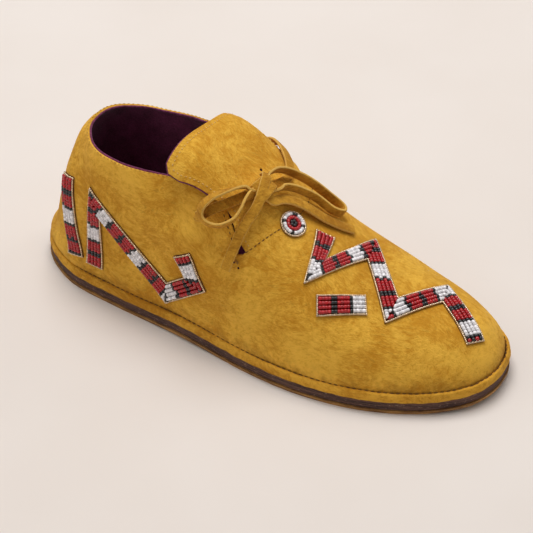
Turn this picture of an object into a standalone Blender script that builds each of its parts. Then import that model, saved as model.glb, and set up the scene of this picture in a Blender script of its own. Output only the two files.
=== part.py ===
"""A beaded suede moccasin for the right foot.

The toe points to +X, the outer (lateral) side to -Y and the sole stands on z = 0.
"""

import math

import bmesh
import bpy
from mathutils import Vector
from mathutils.bvhtree import BVHTree

# Driving dimensions, in metres
SOLE_LENGTH = 0.262
BALL_WIDTH = 0.0973
COLLAR_HEIGHT = 0.0885
OUTSOLE_THICKNESS = 0.0016
MIDSOLE_THICKNESS = 0.0046
MIDSOLE_INSET = 0.0006
INSOLE_THICKNESS = 0.0020
UPPER_WALL = 0.0022
UPPER_TUCK = 0.0010
TONGUE_THICKNESS = 0.0020
BAND_HEIGHT = 0.0048
BAND_THICKNESS = 0.0025
BAND_LIP = 0.0010
TOE_SPRING = 0.0030
ARCH_LIFT = 0.0010
LACE_WIDTH = 0.0052
LACE_THICKNESS = 0.0016
SLOT_HEIGHT = 0.0062
SLOT_WIDTH = 0.0022
BEAD_PAD_THICKNESS = 0.0014
GAP = 0.0003
PAD_GAP = 0.00045
THROAT_GAP = 0.0008

# Heights of the layers where the sole is flat
MIDSOLE_BOTTOM = OUTSOLE_THICKNESS + GAP
MIDSOLE_TOP = MIDSOLE_BOTTOM + MIDSOLE_THICKNESS
UPPER_BASE = MIDSOLE_TOP + GAP
UPPER_INSET = BAND_THICKNESS + 1.5 * GAP
INSOLE_INSET = UPPER_INSET + UPPER_WALL + 1.5 * GAP

# Places along the shoe, as shares of the sole's length from the heel
COLLAR_BACK = 0.104
SLIT = 0.496
SLIT_LEAN = 0.043
THROAT = 0.564
THROAT_CURVE = 0.68
LACE_SLOT = 0.417
SPRING_START = 0.82
ARCH_START = 0.27
ARCH_END = 0.53
TIP = 0.0012

# The slits end at this share of the collar's height, and the lace slots are centred at the other
SLIT_FOOT = 0.695
SLOT_LEVEL = 0.848

# Outline of the sole, with half widths as shares of the ball width
SOLE_TABLE = [
    # share, lateral, medial
    (0.00, 0.000, 0.000),
    (0.02, 0.146, 0.139),
    (0.06, 0.247, 0.233),
    (0.12, 0.331, 0.305),
    (0.22, 0.379, 0.327),
    (0.34, 0.421, 0.327),
    (0.46, 0.475, 0.349),
    (0.58, 0.527, 0.417),
    (0.68, 0.535, 0.462),
    (0.78, 0.495, 0.468),
    (0.87, 0.407, 0.418),
    (0.94, 0.292, 0.315),
    (0.98, 0.175, 0.213),
    (1.00, -0.027, 0.027),
]

# Moves the outline so that its widest points on both sides are equally far from y = 0
OUTLINE_SHIFT = BALL_WIDTH * (max(row[1] for row in SOLE_TABLE) - max(row[2] for row in SOLE_TABLE)) / 2

# Ribs of the upper: the crown's height above the base as a share of the collar's, how square
# the rib is, and how far its crown leans to the inner side, as a share of the ball width
UPPER_TABLE = [
    # share, crown, squareness, lean
    (0.000, 0.000, 2.2, 0.000),
    (0.013, 0.170, 2.3, 0.000),
    (0.028, 0.350, 2.4, 0.004),
    (0.048, 0.570, 2.5, 0.008),
    (0.070, 0.800, 2.6, 0.013),
    (0.088, 0.945, 2.7, 0.019),
    (0.104, 1.000, 2.7, 0.025),
    (0.140, 1.120, 3.2, 0.030),
    (0.190, 1.200, 4.2, 0.045),
    (0.270, 1.213, 4.8, 0.058),
    (0.345, 1.140, 4.6, 0.062),
    (0.385, 1.110, 4.3, 0.070),
    (0.425, 1.045, 4.0, 0.073),
    (0.465, 0.960, 3.7, 0.073),
    (0.500, 0.890, 3.4, 0.070),
    (0.540, 0.820, 3.1, 0.066),
    (0.610, 0.690, 2.7, 0.060),
    (0.680, 0.570, 2.5, 0.052),
    (0.740, 0.485, 2.4, 0.042),
    (0.800, 0.420, 2.3, 0.032),
    (0.860, 0.367, 2.3, 0.024),
    (0.910, 0.325, 2.2, 0.016),
    (0.950, 0.264, 2.2, 0.008),
    (0.980, 0.167, 2.2, 0.003),
    (1.000, 0.000, 2.2, 0.000),
]

# Edge of the collar on both sides, as shares of its height at the back
COLLAR_TABLE = [
    # share, lateral, medial
    (0.104, 1.000, 1.000),
    (0.140, 0.985, 0.970),
    (0.220, 0.980, 0.945),
    (0.300, 0.995, 0.965),
    (0.345, 1.000, 0.985),
    (0.400, 0.975, 0.970),
    (0.450, 0.930, 0.930),
    (0.496, 0.868, 0.868),
]

# Edge of the tongue from the throat to its rounded corner; level is the share of the rib's crown
TONGUE_SIDE = [
    # share, level
    (0.4990, 0.815),
    (0.4880, 0.840),
    (0.4790, 0.868),
    (0.4720, 0.895),
    (0.4620, 0.905),
    (0.4150, 0.900),
    (0.3700, 0.885),
    (0.3500, 0.895),
]
TONGUE_CORNER = (0.3440, 0.925)
TONGUE_TOP = 0.345
TONGUE_LIFT = UPPER_WALL + 2 * GAP
TONGUE_SKEW = 0.014
TONGUE_TILT = 0.0020
TONGUE_NECK = 0.035
LIFT_START = 0.06
LIFT_END = 0.32
TILT_START = 0.60

# Places over the upper: share of the length, turn as a share of the half circle from the outer
# side, lift above the upper in thicknesses of the lace, and how far the lace stands on its edge
CROSSING = [
    (0.4077, 0.2247, 0.72, 0.0),
    (0.4170, 0.2360, 1.60, 0.0),
    (0.4283, 0.2520, 2.75, 0.0),
    (0.4400, 0.2720, 2.75, 0.0),
    (0.4506, 0.2901, 2.75, 0.0),
    (0.4690, 0.3351, 2.75, 0.0),
    (0.4841, 0.4075, 2.75, 0.0),
]
CROSSING_FAR = [
    (0.4077, 0.2247, 0.72, 0.0),
    (0.4170, 0.2360, 1.60, 0.0),
    (0.4283, 0.2520, 2.75, 0.0),
    (0.4400, 0.2720, 2.75, 0.0),
    (0.4506, 0.2901, 2.75, 0.0),
    (0.4760, 0.3350, 2.75, 0.0),
    (0.4960, 0.3750, 2.50, 0.0),
    (0.5080, 0.4300, 2.30, 0.0),
    (0.5040, 0.4980, 2.50, 0.0),
    (0.4940, 0.5500, 2.75, 0.0),
]
KNOT_PLACE = (0.4850, 0.3950, 4.95)
KNOT_SIZE = (0.0092, 0.0086, 0.0048)
LOOP_LATERAL = [
    (0.4720, 0.3600, 5.3, 0.6),
    (0.4598, 0.3466, 5.4, 0.9),
    (0.4403, 0.3055, 5.5, 1.0),
    (0.4240, 0.2732, 5.4, 1.0),
    (0.4158, 0.2496, 5.5, 1.0),
    (0.4199, 0.2350, 4.9, 1.0),
    (0.4367, 0.2355, 4.2, 1.0),
    (0.4597, 0.2511, 4.4, 1.0),
    (0.4759, 0.2789, 4.8, 1.0),
    (0.4759, 0.3044, 5.2, 1.0),
    (0.4730, 0.3256, 5.4, 0.9),
    (0.4760, 0.3480, 5.4, 0.6),
]
LOOP_MEDIAL = [
    (0.4820, 0.4420, 5.5, 0.8),
    (0.4800, 0.4640, 5.6, 1.0),
    (0.4850, 0.5100, 5.7, 1.0),
    (0.4990, 0.5480, 5.6, 1.0),
    (0.5200, 0.5760, 5.0, 1.0),
    (0.5450, 0.6050, 3.8, 1.0),
    (0.5780, 0.6265, 2.6, 1.0),
    (0.6054, 0.6333, 2.1, 1.0),
    (0.6160, 0.6080, 2.1, 1.0),
    (0.6004, 0.5822, 2.1, 1.0),
    (0.5631, 0.5680, 2.8, 1.0),
    (0.5318, 0.5260, 3.8, 1.0),
    (0.5140, 0.4800, 4.6, 1.0),
    (0.5090, 0.4420, 5.2, 0.8),
]
END_LATERAL = [
    (0.4970, 0.3520, 4.6, 0.0),
    (0.4960, 0.3350, 4.2, 0.0),
    (0.4950, 0.3128, 3.3, 0.0),
    (0.4930, 0.2826, 2.8, 0.0),
    (0.4915, 0.2620, 2.2, 0.0),
    (0.4905, 0.2421, 1.4, 0.0),
    (0.4840, 0.1896, 1.0, 0.0),
]
END_MEDIAL = [
    (0.5150, 0.3980, 4.4, 0.0),
    (0.5230, 0.4300, 3.6, 0.0),
    (0.5400, 0.4750, 2.8, 0.0),
    (0.5650, 0.5080, 2.1, 0.0),
    (0.6020, 0.5330, 1.3, 0.0),
    (0.6280, 0.5580, 0.9, 0.0),
    (0.6500, 0.5830, 0.9, 0.0),
]

# Corners of the beadwork's middle lines, with turns as above
BAND_OF_BEADS = 0.0110
ROSETTE_RADIUS = 0.0072
ROSETTE_PLACE = (0.5640, 0.4180)
VAMP_BAND = [
    (0.6180, 0.4750),
    (0.6356, 0.3366),
    (0.6950, 0.5700),
    (0.7878, 0.3739),
    (0.8541, 0.5863),
    (0.9491, 0.4066),
]
VAMP_BAR = [(0.6660, 0.2600), (0.7400, 0.3400)]
QUARTER_BAND = [
    (0.1720, 0.0440),
    (0.1715, 0.1600),
    (0.3480, 0.0550),
    (0.4150, 0.1060),
    (0.3840, 0.1430),
]
HEEL_BAND = [(0.0890, 0.2250), (0.1040, 0.1200), (0.1210, 0.0500)]

# Mesh density
STRIP_STEP = 0.0026
PAD_STEP = 0.0036
HEEL_RIBS = 8
SIDE_RIBS = 12
VAMP_RIBS = 18
ROWS_BELOW_SLIT = 8
ROWS_BESIDE_SLIT = 5
THROAT_STEPS = 16
TONGUE_STEPS = 18
TONGUE_STRIPS = 14
PLATE_STATIONS = 34
PLATE_STRIPS = 3


def spread(share):
    """Angle of a station, which packs the stations where the outline turns round the ends."""
    return math.acos(max(-1.0, min(1.0, 1 - 2 * share)))


def share_of(angle):
    return (1 - math.cos(angle)) / 2


def through(table, index, angle):
    """Smooth value of one column of a table at a station's angle."""
    keys = [spread(row[0]) for row in table]
    values = [row[index] for row in table]
    last = len(keys) - 1
    at = max(i for i in range(last) if keys[i] <= angle or i == 0)

    def slope(i):
        low, high = max(0, i - 1), min(last, i + 1)
        return (values[high] - values[low]) / (keys[high] - keys[low])

    span = keys[at + 1] - keys[at]
    t = (angle - keys[at]) / span
    return (
        (2 * t**3 - 3 * t**2 + 1) * values[at]
        + (t**3 - 2 * t**2 + t) * span * slope(at)
        + (3 * t**2 - 2 * t**3) * values[at + 1]
        + (t**3 - t**2) * span * slope(at + 1)
    )


def ease(t):
    t = max(0.0, min(1.0, t))
    return t * t * (3 - 2 * t)


def rise(x):
    """How far the sole lies above the ground: a toe spring, and a slight arch at the waist."""
    share = x / SOLE_LENGTH + 0.5
    spring = TOE_SPRING * max(0.0, (share - SPRING_START) / (1 - SPRING_START)) ** 2
    middle = (share - ARCH_START) / (ARCH_END - ARCH_START)
    arch = ARCH_LIFT * math.sin(math.pi * max(0.0, min(1.0, middle))) ** 2
    return spring + arch


def outline(angle, side, inset):
    """Point of the sole's outline, moved inward; side is -1 on the outer side of the foot."""
    index = 1 if side < 0 else 2

    def raw(a):
        half = through(SOLE_TABLE, index, a) * BALL_WIDTH
        return Vector((-SOLE_LENGTH / 2 * math.cos(a), side * half + OUTLINE_SHIFT, 0))

    step = 0.004
    along = (raw(min(math.pi, angle + step)) - raw(max(0.0, angle - step))).normalized()
    inward = Vector((-along.y, along.x, 0)) * -side
    return raw(angle) + inward * inset


def rib(angle, turn, lift=0.0):
    """Point of the upper's outer face. turn goes from 0 at the outer side of the foot to pi."""
    if lift:
        return rib(angle, turn) + facing(angle, turn) * lift
    lateral = outline(angle, -1, UPPER_INSET)
    medial = outline(angle, 1, UPPER_INSET)
    square = through(UPPER_TABLE, 2, angle)
    across, up = math.cos(turn), math.sin(turn)
    reach = (abs(across) ** square + abs(up) ** square) ** (-1 / square)
    crown = through(UPPER_TABLE, 1, angle) * (COLLAR_HEIGHT - UPPER_BASE)
    lean = through(UPPER_TABLE, 3, angle) * BALL_WIDTH
    tucked = 1 - 2 * UPPER_TUCK * up * reach / (medial - lateral).length
    point = (lateral + medial) / 2 - (medial - lateral) / 2 * across * reach * tucked
    point.y += lean * (up * reach) ** 2
    point.z = UPPER_BASE + crown * up * reach + rise(point.x)
    return point


def facing(angle, turn):
    """Outward direction of the upper's outer face."""
    step = 0.01
    low, high = max(0.03, angle - step), min(math.pi - 0.03, angle + step)
    along = rib(high, turn) - rib(low, turn)
    around = rib(angle, turn + step) - rib(angle, turn - step)
    return along.cross(around).normalized()


def turn_of_level(angle, level):
    """Turn at which a rib's outer half reaches a share of its crown."""
    square = through(UPPER_TABLE, 2, angle)
    level = max(0.0, min(1.0, level))
    return math.atan2(level, (1 - level**square) ** (1 / square))


def turn_at(angle, height):
    """Turn at which a rib's outer half reaches a height above the ground."""
    crown = through(UPPER_TABLE, 1, angle) * (COLLAR_HEIGHT - UPPER_BASE)
    return turn_of_level(angle, (height - UPPER_BASE) / crown)


def collar_turn(angle, side):
    """Turn of the collar's edge, which is the crown itself behind the collar."""
    if angle <= spread(COLLAR_BACK):
        return math.pi / 2
    return turn_at(angle, through(COLLAR_TABLE, 1 if side < 0 else 2, angle) * COLLAR_HEIGHT)


SLIT_TURN = turn_at(spread(SLIT), SLIT_FOOT * COLLAR_HEIGHT)


def throat(q):
    """Station angle and turn of the throat's edge; q goes from the outer slit's foot to the inner's."""
    share = SLIT + (THROAT - SLIT) * math.sin(math.pi * q) ** THROAT_CURVE
    return spread(share), SLIT_TURN + (math.pi - 2 * SLIT_TURN) * q


def new_object(name, mesh, material):
    mesh.materials.append(material)
    made = bpy.data.objects.new(name, mesh)
    shoe.objects.link(made)
    return made


def mesh_of(bm, name, smooth=True):
    mesh = bpy.data.meshes.new(name)
    bm.to_mesh(mesh)
    bm.free()
    if smooth:
        mesh.shade_smooth()
        mesh.set_sharp_from_angle(angle=math.radians(50))
    return mesh


def skin(bm, rows):
    """Quads between rows of points, each row with as many points as the others."""
    grid = [[bm.verts.new(point) for point in row] for row in rows]
    for low, high in zip(grid, grid[1:]):
        for i in range(len(low) - 1):
            bm.faces.new((low[i], high[i], high[i + 1], low[i + 1]))
    return grid


def material_of(name, colour, roughness):
    made = bpy.data.materials.new(name)
    made.use_nodes = True
    shader = made.node_tree.nodes["Principled BSDF"]
    shader.inputs["Base Color"].default_value = (*colour, 1)
    shader.inputs["Roughness"].default_value = roughness
    shader.inputs["Metallic"].default_value = 0.0
    return made


def solidify(obj, thickness, offset):
    wall = obj.modifiers.new("wall", "SOLIDIFY")
    wall.thickness = thickness
    wall.offset = offset


def plate(name, inset, bottom, thickness, material):
    """A sole layer: the outline's inset, filled, and drawn up by its thickness."""
    bm = bmesh.new()
    first = spread(TIP)
    rows = []
    for i in range(PLATE_STATIONS + 1):
        angle = first + (math.pi - 2 * first) * i / PLATE_STATIONS
        ends = outline(angle, -1, inset), outline(angle, 1, inset)
        row = [ends[0].lerp(ends[1], j / PLATE_STRIPS) for j in range(PLATE_STRIPS + 1)]
        for point in row:
            point.z = bottom + rise(point.x)
        rows.append(row)
    skin(bm, rows)
    drawn = bmesh.ops.extrude_face_region(bm, geom=bm.faces[:], use_keep_orig=True)
    top = [part for part in drawn["geom"] if isinstance(part, bmesh.types.BMVert)]
    bmesh.ops.translate(bm, verts=top, vec=(0, 0, thickness))
    bmesh.ops.recalc_face_normals(bm, faces=bm.faces[:])
    return new_object(name, mesh_of(bm, name), material)


def welt_band():
    """A strip of suede all round, with a sloping lip that covers the upper's lower edge."""
    section = [
        # inset, height above the band's foot
        (0.15 * BAND_LIP, 0.0),
        (0.0, 0.30 * BAND_HEIGHT),
        (0.45 * BAND_LIP, 0.72 * BAND_HEIGHT),
        (BAND_LIP, 0.96 * BAND_HEIGHT),
        (BAND_THICKNESS - 0.25 * BAND_LIP, BAND_HEIGHT),
        (BAND_THICKNESS, 0.94 * BAND_HEIGHT),
        (BAND_THICKNESS, 0.0),
    ]
    first = spread(TIP)
    stations = [first + (math.pi - 2 * first) * i / PLATE_STATIONS for i in range(PLATE_STATIONS + 1)]
    around = [(angle, -1) for angle in stations] + [(angle, 1) for angle in reversed(stations)]
    bm = bmesh.new()
    rows = []
    for inset, height in section + section[:1]:
        row = [outline(angle, side, inset) for angle, side in around + around[:1]]
        for point in row:
            point.z = UPPER_BASE + height + rise(point.x)
        rows.append(row)
    skin(bm, rows)
    bmesh.ops.remove_doubles(bm, verts=bm.verts[:], dist=1e-6)
    bmesh.ops.recalc_face_normals(bm, faces=bm.faces[:])
    return new_object("welt_band", mesh_of(bm, "welt_band"), suede)


def side_turns(top):
    """Turns of the rows on a side: some up to the slit's foot, and the rest up to the collar."""
    foot = SLIT_TURN / collar_turn(spread(SLIT), -1)
    low = [foot * i / ROWS_BELOW_SLIT for i in range(ROWS_BELOW_SLIT)]
    high = [foot + (1 - foot) * i / ROWS_BESIDE_SLIT for i in range(ROWS_BESIDE_SLIT + 1)]
    return [top * part for part in low + high]


def upper_skin(bm):
    """The upper's outer face: heel, two sides with the collar's edge, and vamp."""
    first, back, slit = spread(TIP), spread(COLLAR_BACK), spread(SLIT)
    for side in (-1, 1):
        rows = []
        for i in range(HEEL_RIBS + SIDE_RIBS + 1):
            row = []
            for j, part in enumerate(side_turns(1.0)):
                lean = ease((j - ROWS_BELOW_SLIT) / ROWS_BESIDE_SLIT)
                front = spread(SLIT - SLIT_LEAN * lean)
                angle = first + (back - first) * i / HEEL_RIBS
                if i > HEEL_RIBS:
                    angle = back + (front - back) * ((i - HEEL_RIBS) / SIDE_RIBS) ** 1.6
                turn = collar_turn(angle, side) * part
                row.append(rib(angle, turn if side < 0 else math.pi - turn))
            rows.append(row)
        skin(bm, rows)
    below = side_turns(collar_turn(slit, -1))[:ROWS_BELOW_SLIT]
    edge = [(slit, turn) for turn in below]
    edge += [throat(i / THROAT_STEPS) for i in range(THROAT_STEPS + 1)]
    edge += [(slit, math.pi - turn) for turn in reversed(below)]
    last = spread(1 - TIP)
    vamp = []
    for i in range(VAMP_RIBS + 1):
        t = i / VAMP_RIBS
        even = [math.pi * j / (len(edge) - 1) for j in range(len(edge))]
        blend = ease(2 * t)
        vamp.append(
            [
                rib(a + (last - a) * t, turn * (1 - blend) + level * blend)
                for (a, turn), level in zip(edge, even)
            ]
        )
    skin(bm, vamp)
    half = (len(edge) - 1) // 2
    tip_turns = [math.pi / 2 * i / half for i in range(half + 1)]
    for angle, turns in ((first, side_turns(math.pi / 2)), (last, tip_turns)):
        skin(bm, [[rib(angle, turn) for turn in turns], [rib(angle, math.pi - turn) for turn in turns]])
    bmesh.ops.remove_doubles(bm, verts=bm.verts[:], dist=1e-6)
    bmesh.ops.recalc_face_normals(bm, faces=bm.faces[:])
    if sum(face.normal.dot(face.calc_center_median() - Vector((0, 0, 0.03))) for face in bm.faces) < 0:
        bmesh.ops.reverse_faces(bm, faces=bm.faces[:])


def lace_slot(side):
    """A cutter through the quarter, where the lace comes out."""
    angle = spread(LACE_SLOT)
    turn = turn_at(angle, SLOT_LEVEL * COLLAR_HEIGHT)
    turn = turn if side < 0 else math.pi - turn
    middle, out = rib(angle, turn), facing(angle, turn)
    bm = bmesh.new()
    bmesh.ops.create_cube(bm, size=1)
    bmesh.ops.scale(bm, vec=(SLOT_WIDTH, 4 * UPPER_WALL, SLOT_HEIGHT), verts=bm.verts[:])
    mesh = bpy.data.meshes.new("slot")
    bm.to_mesh(mesh)
    bm.free()
    made = bpy.data.objects.new("slot_cutter", mesh)
    made.location = middle
    made.rotation_mode = "QUATERNION"
    made.rotation_quaternion = (out * side).to_track_quat("Y", "Z")
    made.hide_render = True
    made.display_type = "WIRE"
    cutters.objects.link(made)
    return made


def upper():
    bm = bmesh.new()
    upper_skin(bm)
    made = new_object("upper", mesh_of(bm, "upper"), suede)
    solidify(made, UPPER_WALL, -1)
    for side in (-1, 1):
        cut = made.modifiers.new("lace slot", "BOOLEAN")
        cut.operation = "DIFFERENCE"
        cut.object = lace_slot(side)
    return made


def tongue_place(a, b):
    """Station angle, turn and lift of the tongue; a goes back from the throat, b across."""
    start_angle, start_turn = throat(TONGUE_NECK)
    start = (share_of(start_angle) - THROAT_GAP / SOLE_LENGTH, start_turn)
    side = [start]
    side += [(share, turn_of_level(spread(share), level)) for share, level in TONGUE_SIDE]
    corner = (TONGUE_CORNER[0], turn_of_level(spread(TONGUE_CORNER[0]), TONGUE_CORNER[1]))
    side.append(corner)
    at = a * (len(side) - 1)
    i = min(int(at), len(side) - 2)
    edge = [side[i][k] + (side[i + 1][k] - side[i][k]) * (at - i) for k in (0, 1)]
    q = TONGUE_NECK + (1 - 2 * TONGUE_NECK) * (b + 1) / 2
    angle, turn = throat(q)
    foot = (share_of(angle) - THROAT_GAP / SOLE_LENGTH, turn)
    top = (
        TONGUE_TOP + (corner[0] - TONGUE_TOP) * abs(b) ** 4,
        corner[1] + (math.pi - 2 * corner[1]) * (b + 1) / 2,
    )
    left, right = edge, (edge[0], math.pi - edge[1])
    t = (b + 1) / 2
    corners = (start, (start[0], math.pi - start[1]), corner, (corner[0], math.pi - corner[1]))
    place = [
        (1 - a) * foot[k]
        + a * top[k]
        + (1 - t) * left[k]
        + t * right[k]
        - (1 - a) * ((1 - t) * corners[0][k] + t * corners[1][k])
        - a * ((1 - t) * corners[2][k] + t * corners[3][k])
        for k in (0, 1)
    ]
    share = place[0] + TONGUE_SKEW * b * a * a
    lift = TONGUE_LIFT * ease((a - LIFT_START) / (LIFT_END - LIFT_START))
    lift -= TONGUE_TILT * b * ease((a - TILT_START) / (1 - TILT_START))
    return spread(share), place[1], lift


def tongue_skin(bm):
    """The tongue's outer face."""
    rows = []
    for i in range(TONGUE_STEPS + 1):
        row = [tongue_place(i / TONGUE_STEPS, 2 * j / TONGUE_STRIPS - 1) for j in range(TONGUE_STRIPS + 1)]
        rows.append([rib(angle, turn, lift) for angle, turn, lift in row])
    before = set(bm.faces)
    skin(bm, rows)
    made = [face for face in bm.faces if face not in before]
    bmesh.ops.recalc_face_normals(bm, faces=made)
    if sum(face.normal.z for face in made) < 0:
        bmesh.ops.reverse_faces(bm, faces=made)


def tongue():
    bm = bmesh.new()
    tongue_skin(bm)
    made = new_object("tongue", mesh_of(bm, "tongue"), suede)
    solidify(made, TONGUE_THICKNESS, -1)
    return made


def along_path(table):
    """Smooth rows between the rows of a table of places, about 2 mm apart."""
    rows = [tuple(row) for row in table]
    made = []
    for i in range(len(rows) - 1):
        before = rows[max(0, i - 1)]
        after = rows[min(len(rows) - 1, i + 2)]
        low, high = rows[i], rows[i + 1]
        run = (rib(spread(high[0]), high[1] * math.pi) - rib(spread(low[0]), low[1] * math.pi)).length
        count = max(2, round(run / STRIP_STEP))
        for k in range(count):
            t = k / count
            made.append(
                tuple(
                    0.5
                    * (
                        2 * low[c]
                        + (high[c] - before[c]) * t
                        + (2 * before[c] - 5 * low[c] + 4 * high[c] - after[c]) * t * t
                        + (3 * low[c] - before[c] - 3 * high[c] + after[c]) * t**3
                    )
                    for c in range(4)
                )
            )
    return made + [rows[-1]]


def strip(name, table):
    """A thong of suede over the surface; where stand is 1, it stands on its edge."""
    centres, normals, stands = [], [], []
    for share, turn, lift, stand in along_path(table):
        normal = facing(spread(share), turn * math.pi)
        centres.append(rib(spread(share), turn * math.pi) + normal * lift * LACE_THICKNESS)
        normals.append(normal)
        stands.append(stand * math.pi / 2)
    bm = bmesh.new()
    rows = []
    for i, centre in enumerate(centres):
        along = centres[min(i + 1, len(centres) - 1)] - centres[max(i - 1, 0)]
        along.normalize()
        sideways = normals[i].cross(along).normalized()
        upright = along.cross(sideways)
        across = sideways * math.cos(stands[i]) + upright * math.sin(stands[i])
        rows.append([centre + across * LACE_WIDTH * part for part in (-0.5, 0.0, 0.5)])
    skin(bm, rows)
    made = new_object(name, mesh_of(bm, name), suede)
    solidify(made, LACE_THICKNESS, 0)
    return made


def lace_knot():
    """The knot, as a block with its edges taken off, square to the lace under it."""
    share, turn, lift = KNOT_PLACE
    angle, turn = spread(share), turn * math.pi
    up = facing(angle, turn)
    along = (rib(angle + 0.01, turn) - rib(angle - 0.01, turn)).normalized()
    across = up.cross(along).normalized()
    along = across.cross(up)
    bm = bmesh.new()
    bmesh.ops.create_cube(bm, size=1)
    bmesh.ops.scale(bm, vec=KNOT_SIZE, verts=bm.verts[:])
    bmesh.ops.bevel(
        bm,
        geom=bm.edges[:],
        offset=KNOT_SIZE[2] * 0.35,
        segments=3,
        profile=0.5,
        affect="EDGES",
    )
    middle = rib(angle, turn) + up * lift * LACE_THICKNESS
    for vert in bm.verts:
        vert.co = middle + along * vert.co.x + across * vert.co.y + up * vert.co.z
    return new_object("lace_knot", mesh_of(bm, "lace_knot"), suede)


def onto_upper(point):
    """Nearest place on the outer face of the upper and tongue, lifted by the gap."""
    place, normal, _, _ = outer_face.find_nearest(point)
    return place + normal * PAD_GAP


def place_of(row):
    return rib(spread(row[0]), row[1] * math.pi)


def pad(name, patches):
    """A pad of beadwork, from grids of points over the upper."""
    bm = bmesh.new()
    for rows in patches:
        skin(bm, [[onto_upper(point) for point in row] for row in rows])
    bmesh.ops.remove_doubles(bm, verts=bm.verts[:], dist=2e-5)
    bmesh.ops.recalc_face_normals(bm, faces=bm.faces[:])
    bm.faces.ensure_lookup_table()
    face = bm.faces[0]
    outward = outer_face.find_nearest(face.calc_center_median())[1]
    if face.normal.dot(outward) < 0:
        bmesh.ops.reverse_faces(bm, faces=bm.faces[:])
    made = new_object(name, mesh_of(bm, name), beads)
    solidify(made, BEAD_PAD_THICKNESS, 1)
    return made


def band_patches(table):
    """Grids along a band with mitred corners, one for each straight run."""
    points = [place_of(row) for row in table]
    normals = [facing(spread(row[0]), row[1] * math.pi) for row in table]
    sideways = []
    for i, normal in enumerate(normals):
        runs = [points[j + 1] - points[j] for j in (i - 1, i) if 0 <= j < len(points) - 1]
        turned = [normal.cross(run).normalized() for run in runs]
        mitre = sum(turned, Vector()).normalized()
        sideways.append(mitre / max(0.6, mitre.dot(turned[0])) * BAND_OF_BEADS / 2)
    patches = []
    for i in range(len(points) - 1):
        count = max(3, round((points[i + 1] - points[i]).length / PAD_STEP))
        rows = []
        for k in range(count + 1):
            centre = points[i].lerp(points[i + 1], k / count)
            edge = sideways[i].lerp(sideways[i + 1], k / count)
            rows.append([centre + edge * part for part in (-1, -0.4, 0.4, 1)])
        patches.append(rows)
    return patches


def disc_patches(row, radius):
    """Rings of points round a place on the upper."""
    centre, up = place_of(row), facing(spread(row[0]), row[1] * math.pi)
    first = up.orthogonal().normalized()
    second = up.cross(first)
    rows = []
    for ring in (0.0, 0.35, 0.7, 1.0):
        angles = [2 * math.pi * k / 20 for k in range(20)] + [0.0]
        rows.append([centre + (first * math.cos(a) + second * math.sin(a)) * ring * radius for a in angles])
    return [rows]


def mirrored(table):
    return [(share, 1 - turn) for share, turn in table]


for old in list(bpy.data.objects):
    bpy.data.objects.remove(old)
shoe = bpy.data.collections.new("moccasin")
cutters = bpy.data.collections.new("cutters")
bpy.context.scene.collection.children.link(shoe)
bpy.context.scene.collection.children.link(cutters)
cutters.hide_render = True

suede = material_of("suede", (0.56, 0.31, 0.045), 0.95)
leather = material_of("sole_leather", (0.085, 0.045, 0.03), 0.8)
tan = material_of("sole_bottom", (0.42, 0.24, 0.09), 0.8)
plum = material_of("lining", (0.07, 0.008, 0.03), 0.9)
beads = material_of("beads", (0.42, 0.02, 0.02), 0.3)

plate("outsole", 0.0, 0.0, OUTSOLE_THICKNESS, tan)
plate("midsole", MIDSOLE_INSET, MIDSOLE_BOTTOM, MIDSOLE_THICKNESS, leather)
plate("insole", INSOLE_INSET, UPPER_BASE, INSOLE_THICKNESS, plum)
welt_band()
upper()
tongue()
strip("lace_crossing", CROSSING + [(s, 1 - t, lift, stand) for s, t, lift, stand in reversed(CROSSING_FAR)])
lace_knot()
strip("lace_loop_lateral", LOOP_LATERAL)
strip("lace_loop_medial", LOOP_MEDIAL)
strip("lace_end_lateral", END_LATERAL)
strip("lace_end_medial", END_MEDIAL)

surface = bmesh.new()
upper_skin(surface)
tongue_skin(surface)
outer_face = BVHTree.FromBMesh(surface)
surface.free()
pad("beadwork_rosette", disc_patches(ROSETTE_PLACE, ROSETTE_RADIUS))
pad("beadwork_vamp", band_patches(VAMP_BAND))
pad("beadwork_bar", band_patches(VAMP_BAR))
pad("beadwork_lateral", band_patches(QUARTER_BAND))
pad("beadwork_medial", band_patches(mirrored(QUARTER_BAND)))
pad("beadwork_heel_lateral", band_patches(HEEL_BAND))
pad("beadwork_heel_medial", band_patches(mirrored(HEEL_BAND)))
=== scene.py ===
"""A beaded suede moccasin for the right foot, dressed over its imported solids.

Metres, with the toe to +X, the outer side of the foot to -Y and the sole on z = 0.
"""

import math

import bmesh
import bpy
import numpy as np
from mathutils import Matrix, Vector
from mathutils.bvhtree import BVHTree


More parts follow.
